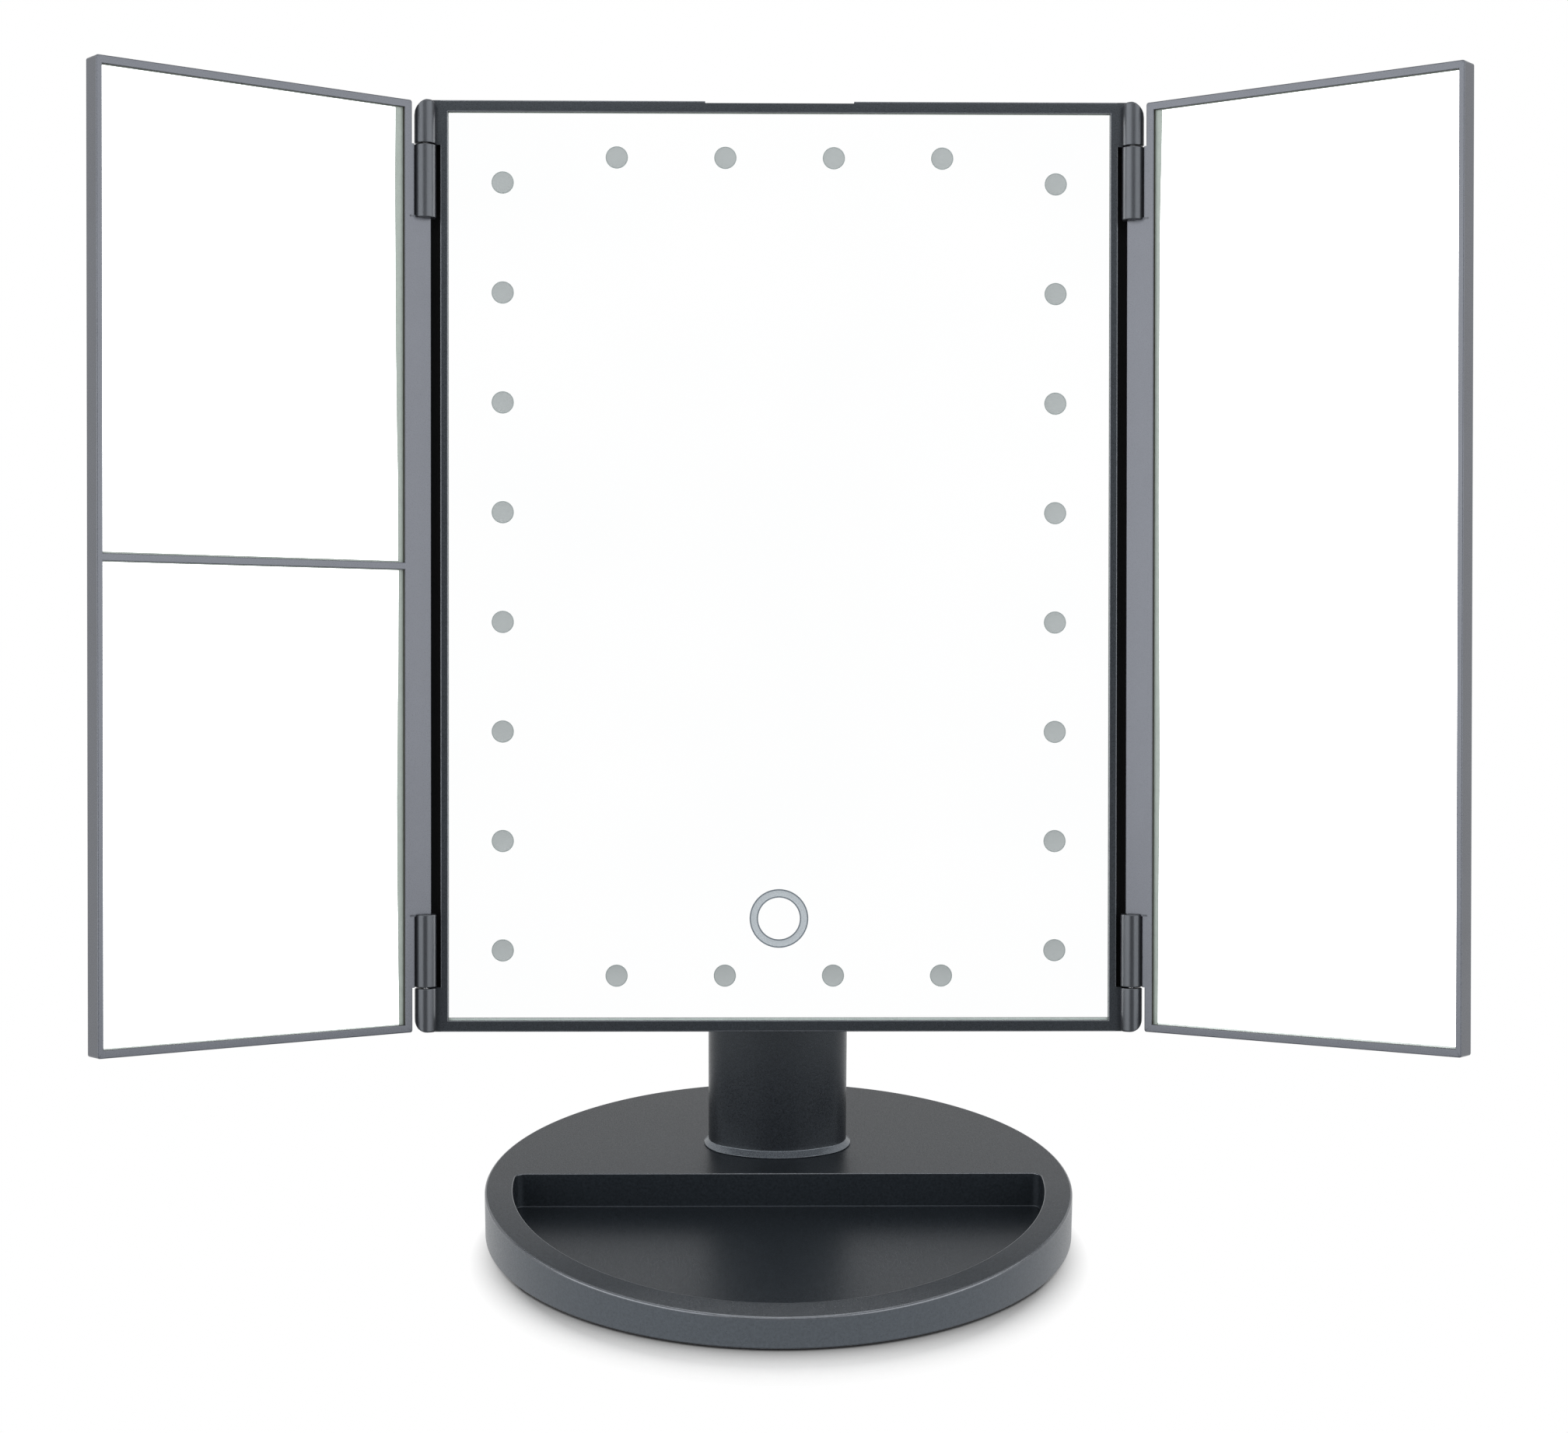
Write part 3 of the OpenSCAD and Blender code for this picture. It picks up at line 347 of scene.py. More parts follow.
# lighter and glossier than the plastic beside it: painted highlight on the rounded edges
edgeHighlightPlastic = finish("painted edge highlight", (0.035, 0.038, 0.044), rough=0.2, spread=0.3, cloud=900, grain=5600, bump=0.5,
                  gloss=0.95, tint=(0.88, 0.93, 1.0))
# darker than the wing plastic the wing's barrels are moulded in: painted shade on the wing's barrels; on the
# head's barrels it stays near the frame's tone, with more gloss
barrelShadePlastic = finish("barrel plastic with painted shade", (0.012, 0.013, 0.0155), rough=0.32, grain=5200, gloss=0.7,
                       tint=(0.86, 0.92, 1.0))
# near-black matt finish for the slab's front in the slot beside the bezel: painted shade
slotShadePlastic = finish("painted slot shade", (0.004, 0.0042, 0.0046), rough=0.8, gloss=0.08)
wingPlastic = finish("wing plastic", (0.032, 0.035, 0.042), rough=0.3, grain=5200, gloss=0.85,
                     tint=(0.86, 0.9, 1.0))
wallShade = finish("shaded lip wall", (0.03, 0.03, 0.024), rough=0.6, gloss=0.2)
rearPlastic = finish("rear plastic", frameTone, rough=0.5, grain=2600, bump=0.6)
silver = mirrorSilver("silvered glass")
dishSilver = mirrorSilver("magnifying silver", (0.885, 0.9, 0.91), (0.96, 0.965, 0.97))
glassEdge = finish("ground glass edge", (0.26, 0.30, 0.275), rough=0.3, spread=0.05, bump=0.15, **ground)
glassFoot = finish("lit glass edge", (0.44, 0.5, 0.48), rough=0.3, spread=0.05, bump=0.15, **ground)
# the lightest glass edge, for the foot strip of two wing panes: painted highlight
glassFootHighlight = finish("glass foot edge with painted highlight", (0.66, 0.72, 0.70), rough=0.25, bump=0.1, **ground)
glassLine = finish("dark line of the silvering", (0.05, 0.06, 0.06), rough=0.4, cloud=400)
windowFrost = finish("frosted window", (0.297, 0.319, 0.321), rough=0.55, **frosted)
windowRim = finish("window rim", (0.22, 0.25, 0.25), rough=0.5, **frosted)
ringFrost = finish("frosted ring", (0.342, 0.374, 0.398), rough=0.55, **frosted)
ringRim = finish("ring rim", (0.12, 0.14, 0.16), rough=0.5, **frosted)
rubber = finish("rubber", (0.02, 0.02, 0.02), rough=0.8, spread=0.2, gloss=0.25)
darkSteel = finish("blackened steel", (0.16, 0.16, 0.17), rough=0.34, spread=0.25, metallic=1.0, cloud=700,
                   bump=0.2)
brightSteel = finish("bright steel", (0.7, 0.7, 0.72), rough=0.22, metallic=1.0, cloud=300, bump=0.1)

# the finish of each solid that stays as it is
innerFinishes = {
    "copper foil": dict(tone=(0.72, 0.43, 0.2), rough=0.35, metallic=1.0, nodes=["touch_sensor"]),
    "carrier plastic": dict(tone=(0.82, 0.82, 0.8), rough=0.5, nodes=["light_carrier"]),
    "board lacquer": dict(tone=(0.82, 0.84, 0.8), rough=0.25, nodes=[
        "light_board_left", "light_board_right", "light_board_top", "light_board_bottom"]),
    "chip phosphor": dict(tone=(0.9, 0.8, 0.35), rough=0.3, nodes=["light_chips"]),
    "red wire": dict(tone=(0.55, 0.05, 0.04), rough=0.5, nodes=["light_leads"]),
    "black wire": dict(tone=(0.02, 0.02, 0.02), rough=0.5, nodes=["battery_leads"]),
    "green lacquer": dict(tone=(0.03, 0.22, 0.1), rough=0.3, nodes=["control_board"]),
    "switch housing": dict(tone=(0.16, 0.16, 0.17), rough=0.45, nodes=["switch_body"]),
    "cell sleeve": dict(tone=(0.3, 0.31, 0.33), rough=0.3, metallic=0.8, nodes=["battery_cells"]),
    "nylon": dict(tone=(0.78, 0.78, 0.73), rough=0.5, nodes=["friction_washers"]),
    "foam tape": dict(tone=(0.8, 0.8, 0.77), rough=0.9, nodes=["left_wing_tape", "right_wing_tape"]),
}


def giveFinish(material, *names):
    for node in names:
        for spot in nodes[node].material_slots:
            spot.material = material


for name, settings in innerFinishes.items():
    names = settings.pop("nodes")
    giveFinish(finish(name, **settings), *names)
giveFinish(rubber, "rubber_feet")
giveFinish(brightSteel, "control_board_screws", "usb_socket", "tilt_axle", "tilt_nut", "spring_washer",
           "hinge_pins", "battery_springs", "battery_plates")
print("materials ready")


# base moulding: a round disc whose top falls to the front, with a D-shaped tray

base = dict(radius=75.995, top=12.4, drop=4, dropReach=77, foot=0.6, edge=0.55, lowEdge=0.3,
            trayRadius=68.8, trayBack=5.9, trayCorner=2.3, trayFloor=3.2, rimEdge=0.28, floorFillet=0.3,
            plateRecess=74.3, recessTop=1.9, recessRing=0.5, trayMiddle=-31, floorRings=(0.45, 0.9),
            topRings=(1 / 3, 2 / 3), cornerReach=8, highlightUp=2, chordSteps=90, cornerSteps=9, arcSteps=170,
            filletSteps=5)


def topHeight(y):
    return base["top"] - base["drop"] * (min(0, y) / base["dropReach"]) ** 2


def trayCorner():
    side = base["trayRadius"] - base["trayCorner"]
    back = base["trayBack"] - base["trayCorner"]
    return math.sqrt(side ** 2 - back ** 2), back


# the tray's outline, grown outwards, as points and the outer angle that each belongs to
def trayLoop(grow):
    cornerX, cornerY = trayCorner()
    start = math.atan2(cornerY, cornerX)
    quarter = math.pi / 2
    reach = math.radians(base["cornerReach"])
    r, rim = base["trayCorner"] + grow, base["trayRadius"] + grow
    loop = []
    for i in range(base["cornerSteps"]):
        t = i / base["cornerSteps"]
        a = start + (quarter - start) * t
        loop.append((cornerX + r * math.cos(a), cornerY + r * math.sin(a), start + (reach - start) * t))
    for i in range(base["chordSteps"]):
        t = i / base["chordSteps"]
        loop.append((cornerX * (1 - 2 * t), base["trayBack"] + grow, reach + (math.pi - 2 * reach) * t))
    for i in range(base["cornerSteps"]):
        t = i / base["cornerSteps"]
        a = quarter + (quarter - start) * t
        loop.append((-cornerX + r * math.cos(a), cornerY + r * math.sin(a),
                     math.pi - reach + (reach - start) * t))
    for i in range(base["arcSteps"]):
        a = math.pi - start + (math.pi + 2 * start) * i / base["arcSteps"]
        loop.append((rim * math.cos(a), rim * math.sin(a), a))
    return loop


# height is a number, or a function of the point's y
def roundLoop(radius, height):
    loop = []
    for _, _, a in trayLoop(0):
        x, y = radius * math.cos(a), radius * math.sin(a)
        loop.append((x, y, height(y) if callable(height) else height))
    return loop


def baseMoulding():
    mesh = bmesh.new()
    loops = []
    turns = [i / base["filletSteps"] * math.pi / 2 for i in range(base["filletSteps"] + 1)]
    r = base["floorFillet"]
    inner = trayLoop(-r)
    middle = base["trayMiddle"]
    for shrink in base["floorRings"]:
        loops.append([(x * shrink, (y - middle) * shrink + middle, base["trayFloor"]) for x, y, _ in inner])
    for t in turns:
        up = base["trayFloor"] + r * (1 - math.cos(t))
        loops.append([(x, y, up) for x, y, _ in trayLoop(-r + r * math.sin(t))])
    r = base["rimEdge"]
    for t in turns:
        grow = r * (1 - math.cos(t))
        loops.append([(x, y, topHeight(y) - r * (1 - math.sin(t))) for x, y, _ in trayLoop(grow)])
    rim = trayLoop(r)
    flat = base["radius"] - base["edge"]
    for t in base["topRings"]:
        loop = []
        for x, y, a in rim:
            px, py = x + (flat * math.cos(a) - x) * t, y + (flat * math.sin(a) - y) * t
            loop.append((px, py, topHeight(py)))
        loops.append(loop)
    r = base["edge"]
    for t in turns:
        loops.append(roundLoop(flat + r * math.sin(t), lambda y, t=t: topHeight(y) - r * (1 - math.cos(t))))
    low = base["lowEdge"]
    for t in turns:
        up = base["foot"] + low * (1 - math.sin(t))
        loops.append(roundLoop(base["radius"] - low * (1 - math.cos(t)), up))
    loops.append(roundLoop(base["plateRecess"], base["foot"]))
    loops.append(roundLoop(base["plateRecess"], base["recessTop"]))
    loops.append(roundLoop(base["plateRecess"] * base["recessRing"], base["recessTop"]))
    rows = loft(mesh, loops, around=False)
    cap(mesh, rows[0], (0, middle, base["trayFloor"]))
    cap(mesh, rows[-1], (0, 0, base["recessTop"]))
    # the outer wall takes the lighter copy of the plastic: painted light
    for f in mesh.faces:
        if all(math.hypot(v.co.x, v.co.y) > base["radius"] - tiny for v in f.verts):
            f.material_index = 1
    # rounded edges above the tray floor get the painted highlight
    paintEdgeHighlights(mesh, 2, base["trayFloor"] + base["highlightUp"])
    addPiece("baseMoulding", mesh, standPlace, "stand", [basePlastic, litSidePlastic, edgeHighlightPlastic],
             "base_shell", even=True)


baseMoulding()
print("base made")


# neck: a flattened column with rounded sides on a bevelled flange, with a pocket at the back for its cover

column = dict(back=27.0, depth=17.2, sideX=10.5, sideBack=2.2, sideRadius=8.0, frontRadius=29.09,
              backRadius=60.5, rearCorner=0.7, rearStart=1.6, rearClear=0.3, start=11.9, reveal=0.35,
              flangeOut=1.2, flangeFront=1.9, flangeLow=12.5, flangeWall=0.25, flangeTop=13.7, flangeFade=1.2,
              footGap=0.02, paintAbove=0.2, edge=0.15, axis=77.7, boss=6.0, wall=2.05, windowHalf=13.0,
              windowLow=16.4, windowHigh=65.1, midLevels=(30, 48), topLevel=68,
              bossTurns=(15, 30, 45, 60, 75, 90), crownTurns=(*range(6, 85, 6), 87), turnStep=0.001,
              sideSteps=16, frontSteps=40, rearSteps=14)


# right half of the section from the front middle to the back middle, and how many of its points are in front
def halfSection():
    c = column
    deep, r = c["depth"] / 2, c["frontRadius"]
    x, y, side = c["sideX"], c["sideBack"], c["sideRadius"]
    frontMiddle, backMiddle = r - deep, deep - c["backRadius"]
    join = math.atan2(x, frontMiddle - y)
    turns = [join * i / c["frontSteps"] for i in range(c["frontSteps"])]
    front = [(r * math.sin(t), frontMiddle - r * math.cos(t)) for t in turns]
    start = turn = join - math.pi / 2
    while math.hypot(x + side * math.cos(turn), y + side * math.sin(turn) - backMiddle) < c["backRadius"]:
        turn += c["turnStep"]
    turns = [start + (turn - start) * i / c["sideSteps"] for i in range(c["sideSteps"] + 1)]
    sides = [(x + side * math.cos(t), y + side * math.sin(t)) for t in turns]
    widest, w = sides[-1][0] - c["rearStart"], c["windowHalf"]
    xs = [widest] + [widest - widest * i / c["rearSteps"] for i in range(1, c["rearSteps"] + 1)]
    xs = sorted([q for q in xs if abs(q - w) > c["rearClear"]] + [w, w - hair], reverse=True)
    rear = [(q, backMiddle + math.sqrt(c["backRadius"] ** 2 - q * q)) for q in xs]
    corner = roundCorners([sides[-3], sides[-1], rear[0]], c["rearCorner"], 4)[1:-1]
    inFront = len(front) + sum(1 for t in turns[:-2] if t <= 0)
    return front + sides[:-2] + corner + rear, inFront


# whole section, anticlockwise from the front middle, with a mark for each point that faces forward
def columnSection():
    half, inFront = halfSection()
    marked = [(p[0], p[1], i < inFront) for i, p in enumerate(half)]
    left = [(-x, y, f) for x, y, f in reversed(marked[1:-1])]
    return marked + left


def grown(loop, out):
    moved, count = [], len(loop)
    for i, (x, y, front) in enumerate(loop):
        ax, ay = loop[i - 1][:2]
        bx, by = loop[(i + 1) % count][:2]
        nx, ny = by - ay, -(bx - ax)
        length = math.hypot(nx, ny) or 1
        deeper = column["flangeFront"] if front and out > column["reveal"] else 1
        moved.append((x + nx / length * out, y + ny / length * out * deeper, front))
    return moved


def neckColumn():
    c = column
    outline, deep = columnSection(), c["depth"] / 2
    low = c["flangeLow"]
    foot = [(c["reveal"], c["start"]), (c["reveal"], low - c["footGap"])]
    bevel = roundCorners([(c["reveal"], low), (c["flangeOut"], low), (c["flangeOut"], low + c["flangeWall"]),
                          (0, c["flangeTop"]), (0, c["flangeTop"] + c["flangeFade"])], c["edge"], 3)
    heights = [(z, out) for out, z in foot + bevel[1:]]
    zs = [c["windowLow"] - hair, c["windowLow"], *c["midLevels"], c["windowHigh"], c["windowHigh"] + hair,
          c["topLevel"], c["axis"] - c["boss"]]
    zs += [c["axis"] - c["boss"] * math.cos(math.radians(a)) for a in c["bossTurns"]]
    zs += [c["axis"] + deep * math.sin(math.radians(a)) for a in c["crownTurns"]]
    heights += [(z, 0) for z in zs]
    mesh = bmesh.new()
    loops = []
    for z, out in heights:
        up = z - c["axis"]
        clip = math.sqrt(max(0, deep * deep - up * up)) if up > 0 else deep
        boss = math.sqrt(max(0, c["boss"] ** 2 - up * up))
        pocket = c["windowLow"] - hair / 2 < z < c["windowHigh"] + hair / 2
        loop = []
        for x, y, front in (grown(outline, out) if out else outline):
            if not out and up > -c["boss"]:
                y = min(max(y, -clip), -boss) if front else max(min(y, clip), boss)
            if pocket and not front and abs(x) < c["windowHalf"] - hair / 2:
                y -= c["wall"]
            loop.append((x, y + c["back"], z))
        loops.append(loop)
    cappedLoft(mesh, loops)
    # the flange's bevel takes the lighter copy: painted highlight
    for f in mesh.faces:
        if low < f.calc_center_median().z < c["flangeTop"] + c["paintAbove"]:
            f.material_index = 1
    addPiece("neckColumn", mesh, standPlace, "stand", [neckPlastic, flangeHighlightPlastic], "neck",
             smooth=24)


neckColumn()
print("neck made")


# moulded shells that keep their solid's form

wingShell = dict(material=wingPlastic, width=0.2, slot="abs_wing")
shells = [
    dict(name="basePlate", node="base_plate", body="stand", material=rearPlastic, width=0.2),
    dict(name="neckCover", node="neck_rear_cover", body="stand", material=neckPlastic, width=0.12),
    dict(name="rearCover", node="rear_cover", body="head", material=rearPlastic, width=0.3),
    dict(name="rearHousing", node="rear_housing", body="head", material=rearPlastic, width=0.3),
    dict(name="batteryLid", node="battery_door", body="battery_door", material=rearPlastic, width=0.15),
    dict(name="switchKnob", node="switch_knob", body="power_switch", material=rubber, width=0.2,
         slot="switch_black"),
    dict(wingShell, name="leftWingBack", node="left_wing_back", body="left_wing"),
    dict(wingShell, name="rightWingBack", node="right_wing_back", body="right_wing"),
]
for shell in shells:
    softened(**shell)
print("shells softened:", len(shells))


# pan-head screws with a cross recess; each stands with the middle of its head's face at its spot

# edge, arm and half are parts of the head's radius, pit of its height and tip of the shank's radius
cross = dict(edge=0.16, arm=0.58, half=0.13, pit=0.6, taper=0.8, tip=0.35, turns=40,
             rounding=((1, 0), (0.55, 0.12), (0.18, 0.45), (0, 1)), firstTwist=0.3, twist=0.7)
plateTurns = [math.radians(a) for a in (20, 62, 118, 160)]
plateReach, standUp = 68.2, 0.2
standScrew = dict(body="stand", place=standPlace, head=2.2, tall=1.0, shank=1.2, turn=Matrix())
screws = [
    dict(standScrew, name="basePlateScrews", node="base_plate_screws", length=7.8,
         spots=[(plateReach * math.cos(a), plateReach * math.sin(a), standUp) for a in plateTurns]),
    dict(standScrew, name="neckScrews", node="neck_screws", length=9.0,
         spots=[(-9.25, 27, standUp), (9.25, 27, standUp)]),
    dict(name="rearCoverScrews", node="rear_cover_screws", body="head", place=panelPlace, head=1.7, tall=0.9,
         shank=0.9, length=6.9, turn=Matrix.Rotation(math.pi / 2, 4, "X"),
         spots=[(x, 11.9, z) for x in (-88.4, 88.4) for z in (14.4, 120, 225.6)]),
]


def crossScrew(mesh, place, screw):
    head, tall, shank, length = screw["head"], screw["tall"], screw["shank"], screw["length"]
    edge, arm, half = head * cross["edge"], head * cross["arm"], head * cross["half"]
    outline = [(arm, half), (half, half), (half, arm), (-half, arm), (-half, half), (-arm, half),
               (-arm, -half), (-half, -half), (-half, -arm), (half, -arm), (half, -half), (arm, -half)]
    rim = circlePoints(0, 0, head - edge, cross["turns"])
    rings = [[mesh.verts.new(place @ Vector((x, y, 0))) for x, y in ring] for ring in (rim, outline)]
    edges = [mesh.edges.new(pair) for ring in rings for pair in zip(ring, ring[1:] + ring[:1])]
    bmesh.ops.triangle_fill(mesh, use_beauty=True, edges=edges)
    line = [(head - edge * i, edge * d) for i, d in cross["rounding"]]
    line += [(head, tall), (shank, tall), (shank, tall + length - shank),
             (shank * cross["tip"], tall + length)]
    turned = [[place @ Vector((x, y, z)) for x, y in circlePoints(0, 0, r, cross["turns"])] for r, z in line]
    cap(mesh, loft(mesh, turned, around=False)[-1])
    pit = ((1, 0), (cross["taper"], tall * cross["pit"]))
    sunk = [[place @ Vector((x * k, y * k, z)) for x, y in outline] for k, z in pit]
    cap(mesh, loft(mesh, sunk, around=False)[-1])


for screw in screws:
    mesh = bmesh.new()
    for i, spot in enumerate(screw["spots"]):
        twist = Matrix.Rotation(cross["twist"] * i + cross["firstTwist"], 4, "Z")
        crossScrew(mesh, Matrix.Translation(spot) @ screw["turn"] @ twist, screw)
    addPiece(screw["name"], mesh, screw["place"], screw["body"], [darkSteel], screw["node"])
print("screws made:", len(screws))


# bezel of the main mirror, the slab behind it and its hinge barrels

bezel = dict(halfWidth=87.4, lipSide=2.0, lipEnd=2.9, lip=1.2, seat=1.2, back=4.0, edge=0.3, innerEdge=0.22,
             notchHalf=19.2, notchDeep=0.6, notchBack=2.6, slabHalf=92.6, slabCorner=2.8, slabFront=2.6,
             slabBack=6.0, slabIn=5.3, slabWall=1.8, slabEdge=0.25, slabSteps=6)

# levels are (distance from the end, scale of the radius), and for a patch (distance from the end, front)
barrel = dict(radius=2.8, headLength=11.5, endRound=3.6, endPower=(2.0, 1.6), endShort=(0.25, 0.5),
              innerRound=(0.6, 1.4), edge=0.3, patchIn=86.9, patchBack=3.0, wingStart=11.75, wingEnd=30.55,
              bore=0.85, turns=48, patchLevels=((0, 0.3), (0.09, 0.09), (0.3, -hair)),
              outerLevels=((0, 0.93), (0.05, 0.965), (0.12, 0.985), (0.22, 0.996), (0.36, 1), (0.54, 1),
                           (0.76, 1), (1.02, 1), (1.34, 1), (1.72, 1), (2.16, 1), (2.66, 1)),
              innerLevels=((0.3, 1), (0.1, 0.965), (0, 0.9)))


def quarterArc(radius, steps=4):
    turns = [math.pi / 2 * i / steps for i in range(steps + 1)]
    return [(radius * (1 - math.cos(t)), radius * (1 - math.sin(t))) for t in turns]


# a picture frame; each line of the profile is (inset left, inset right, inset at the ends, depth), and
# the inset at the foot where that differs
def frameRing(mesh, low, high, profile, corner=0.0, steps=4, extra=None):
    loops = []
    for left, right, end, deep, *foot in profile:
        x0, x1, z1 = low[0] + left, high[0] - right, high[1] - end
        z0 = low[1] + (foot[0] if foot else end)
        points = []
        for x, z, side, up, turn in ((x0, z0, 1, 1, math.pi), (x1, z0, -1, 1, -math.pi / 2),
                                     (x1, z1, -1, -1, 0), (x0, z1, 1, -1, math.pi / 2)):
            r = max(0, corner - ((left if side > 0 else right) + end) / 2)
            for i in range(steps + 1 if corner else 1):
                a = turn + math.pi / 2 * i / steps
                points.append((x + side * r + r * math.cos(a), z + up * r + r * math.sin(a)))
            if extra and (side, up) == (-1, -1):
                points += extra(z1, deep)
        loops.append([(x, deep, z) for x, z in points])
    loft(mesh, loops)


# notch in the middle of the top edge, where a finger opens the closed wings
def notchPoints(top, deep):
    half = bezel["notchHalf"]
    floor = min(top, panel["height"] - bezel["notchDeep"]) if deep < bezel["notchBack"] else top
    return [(half + tiny, top), (half, floor), (-half, floor), (-half - tiny, top)]


# top is 0 or 1, and picks the values where the two ends differ
def headBarrel(mesh, side, top):
    b = barrel
    middle = panel["hingeOut"] + b["radius"] - b["endRound"]
    turn, power = b["innerRound"][top], b["endPower"][top]
    inner = panel["hingeOut"] - b["radius"] + turn
    levels = [*b["outerLevels"], (b["endRound"], 1)]
    levels += [(b["headLength"] - down, scale) for down, scale in b["innerLevels"]]
    loops = []
    for z, scale in levels:
        up = 1 - z / b["endRound"]
        reach = middle + b["endRound"] * (1 - up ** power) ** (1 / power) if up > 0 else math.inf
        up = turn - z
        least = inner - math.sqrt(max(0, turn ** 2 - up * up)) if up > 0 else -math.inf
        z += b["endShort"][top] if z <= b["endRound"] else 0
        loop = []
        for i in range(b["turns"]):
            a = 2 * math.pi * i / b["turns"]
            x = max(least, min(panel["hingeOut"] + b["radius"] * scale * math.cos(a), reach))
            y = -panel["hingeProud"] + b["radius"] * scale * math.sin(a)
            loop.append((side * x, y, panel["height"] - z if top else z))
        loops.append(loop)
    count = len(mesh.faces)
    cappedLoft(mesh, loops)
    paintFaces(mesh, count, 2)
    loops = []
    x0, x1, back = side * b["patchIn"], side * panel["hingeOut"], b["patchBack"]
    for z, front in (*b["patchLevels"], (b["headLength"], -hair)):
        z = panel["height"] - z if top else z
        loops.append([(x0, front, z), (x1, front, z), (x1, back, z), (x0, back, z)])
    cappedLoft(mesh, loops)


def headFrame():
    z = bezel
    seat, sides, ends = z["seat"], z["lipSide"], z["lipEnd"]
    mesh = bmesh.new()
    profile = [(0, 0, 0, d) for d in (z["back"], z["notchBack"] + tiny, z["notchBack"] - tiny)]
    profile += [(i, i, i, d) for i, d in quarterArc(z["edge"])]
    profile += [(sides - i, sides - i, ends - i, d) for i, d in reversed(quarterArc(z["innerEdge"]))]
    profile += [(sides, sides, ends, z["lip"]), (seat, seat, seat, z["lip"]), (seat, seat, seat, z["back"])]
    frameRing(mesh, (-z["halfWidth"], 0), (z["halfWidth"], panel["height"]), profile, extra=notchPoints)
    for side in (-1, 1):
        for top in (0, 1):
            headBarrel(mesh, side, top)
    # the bezel's narrow edge faces get the painted highlight
    paintEdgeHighlights(mesh, 3)
    plain = len(mesh.faces)
    slab = [(0, z["slabBack"])] + [(i, z["slabFront"] + d) for i, d in quarterArc(z["slabEdge"])]
    slab += [(z["slabIn"], z["slabFront"]), (z["slabIn"], z["back"]), (z["slabWall"], z["back"]),
             (z["slabWall"], z["slabBack"])]
    frameRing(mesh, (-z["slabHalf"], 0), (z["slabHalf"], panel["height"]), [(i, i, i, d) for i, d in slab],
              corner=z["slabCorner"], steps=z["slabSteps"])
    # the slab's front in the slot takes the near-black finish: painted shade
    for f in list(mesh.faces)[plain:]:
        if abs(f.calc_center_median().y - z["slabFront"]) < tiny:
            f.material_index = 1
    addPiece("headBezel", mesh, panelPlace, "head", [framePlastic, slotShadePlastic, barrelShadePlastic, edgeHighlightPlastic],
             "head_frame", even=True)


headFrame()
print("bezel made")


# wing frames

wing = dict(inner=3.8, outer=90.593, low=0.3, high=239.3, thick=5.6, lipWidth=2.2, lipFar=1.5, lipEnd=2.0,
            lip=1.0, seat=1.2, seatFoot=1.6, edge=0.3, innerEdge=0.2, corner=0.6, bar=0.9, barIn=0.03,
            barSteps=3, strip=-1.9, stripBack=2.0, stripEdge=0.35, stripLow=30.05, webFront=1.2, webIn=0.1,
            sideIn=3.15, overlap=0.8)


def wingBarrel(mesh, low, high):
    b = barrel
    line = [(b["bore"], low)] + [(b["radius"] - i, low + d) for i, d in reversed(quarterArc(b["edge"]))]
    line += [(b["radius"] - i, high - d) for i, d in quarterArc(b["edge"])] + [(b["bore"], high)]
    count = len(mesh.faces)
    loft(mesh, [[(x, y, z) for x, y in circlePoints(0, 0, r, b["turns"])] for r, z in line])
    # the barrel takes the darker finish: painted shade
    paintFaces(mesh, count, 2)


# the inner wall of the lip lies in shade beside the glass
def darkenWalls(mesh):
    w = wing
    walls = ((0, w["inner"] + w["lipWidth"]), (0, w["outer"] - w["lipFar"]), (2, w["low"] + w["lipEnd"]),
             (2, w["high"] - w["lipEnd"]))
    for f in mesh.faces:
        if all(w["innerEdge"] - tiny < v.co.y < w["lip"] + tiny for v in f.verts):
            if any(all(abs(v.co[axis] - wall) < tiny for v in f.verts) for axis, wall in walls):
                f.material_index = 1


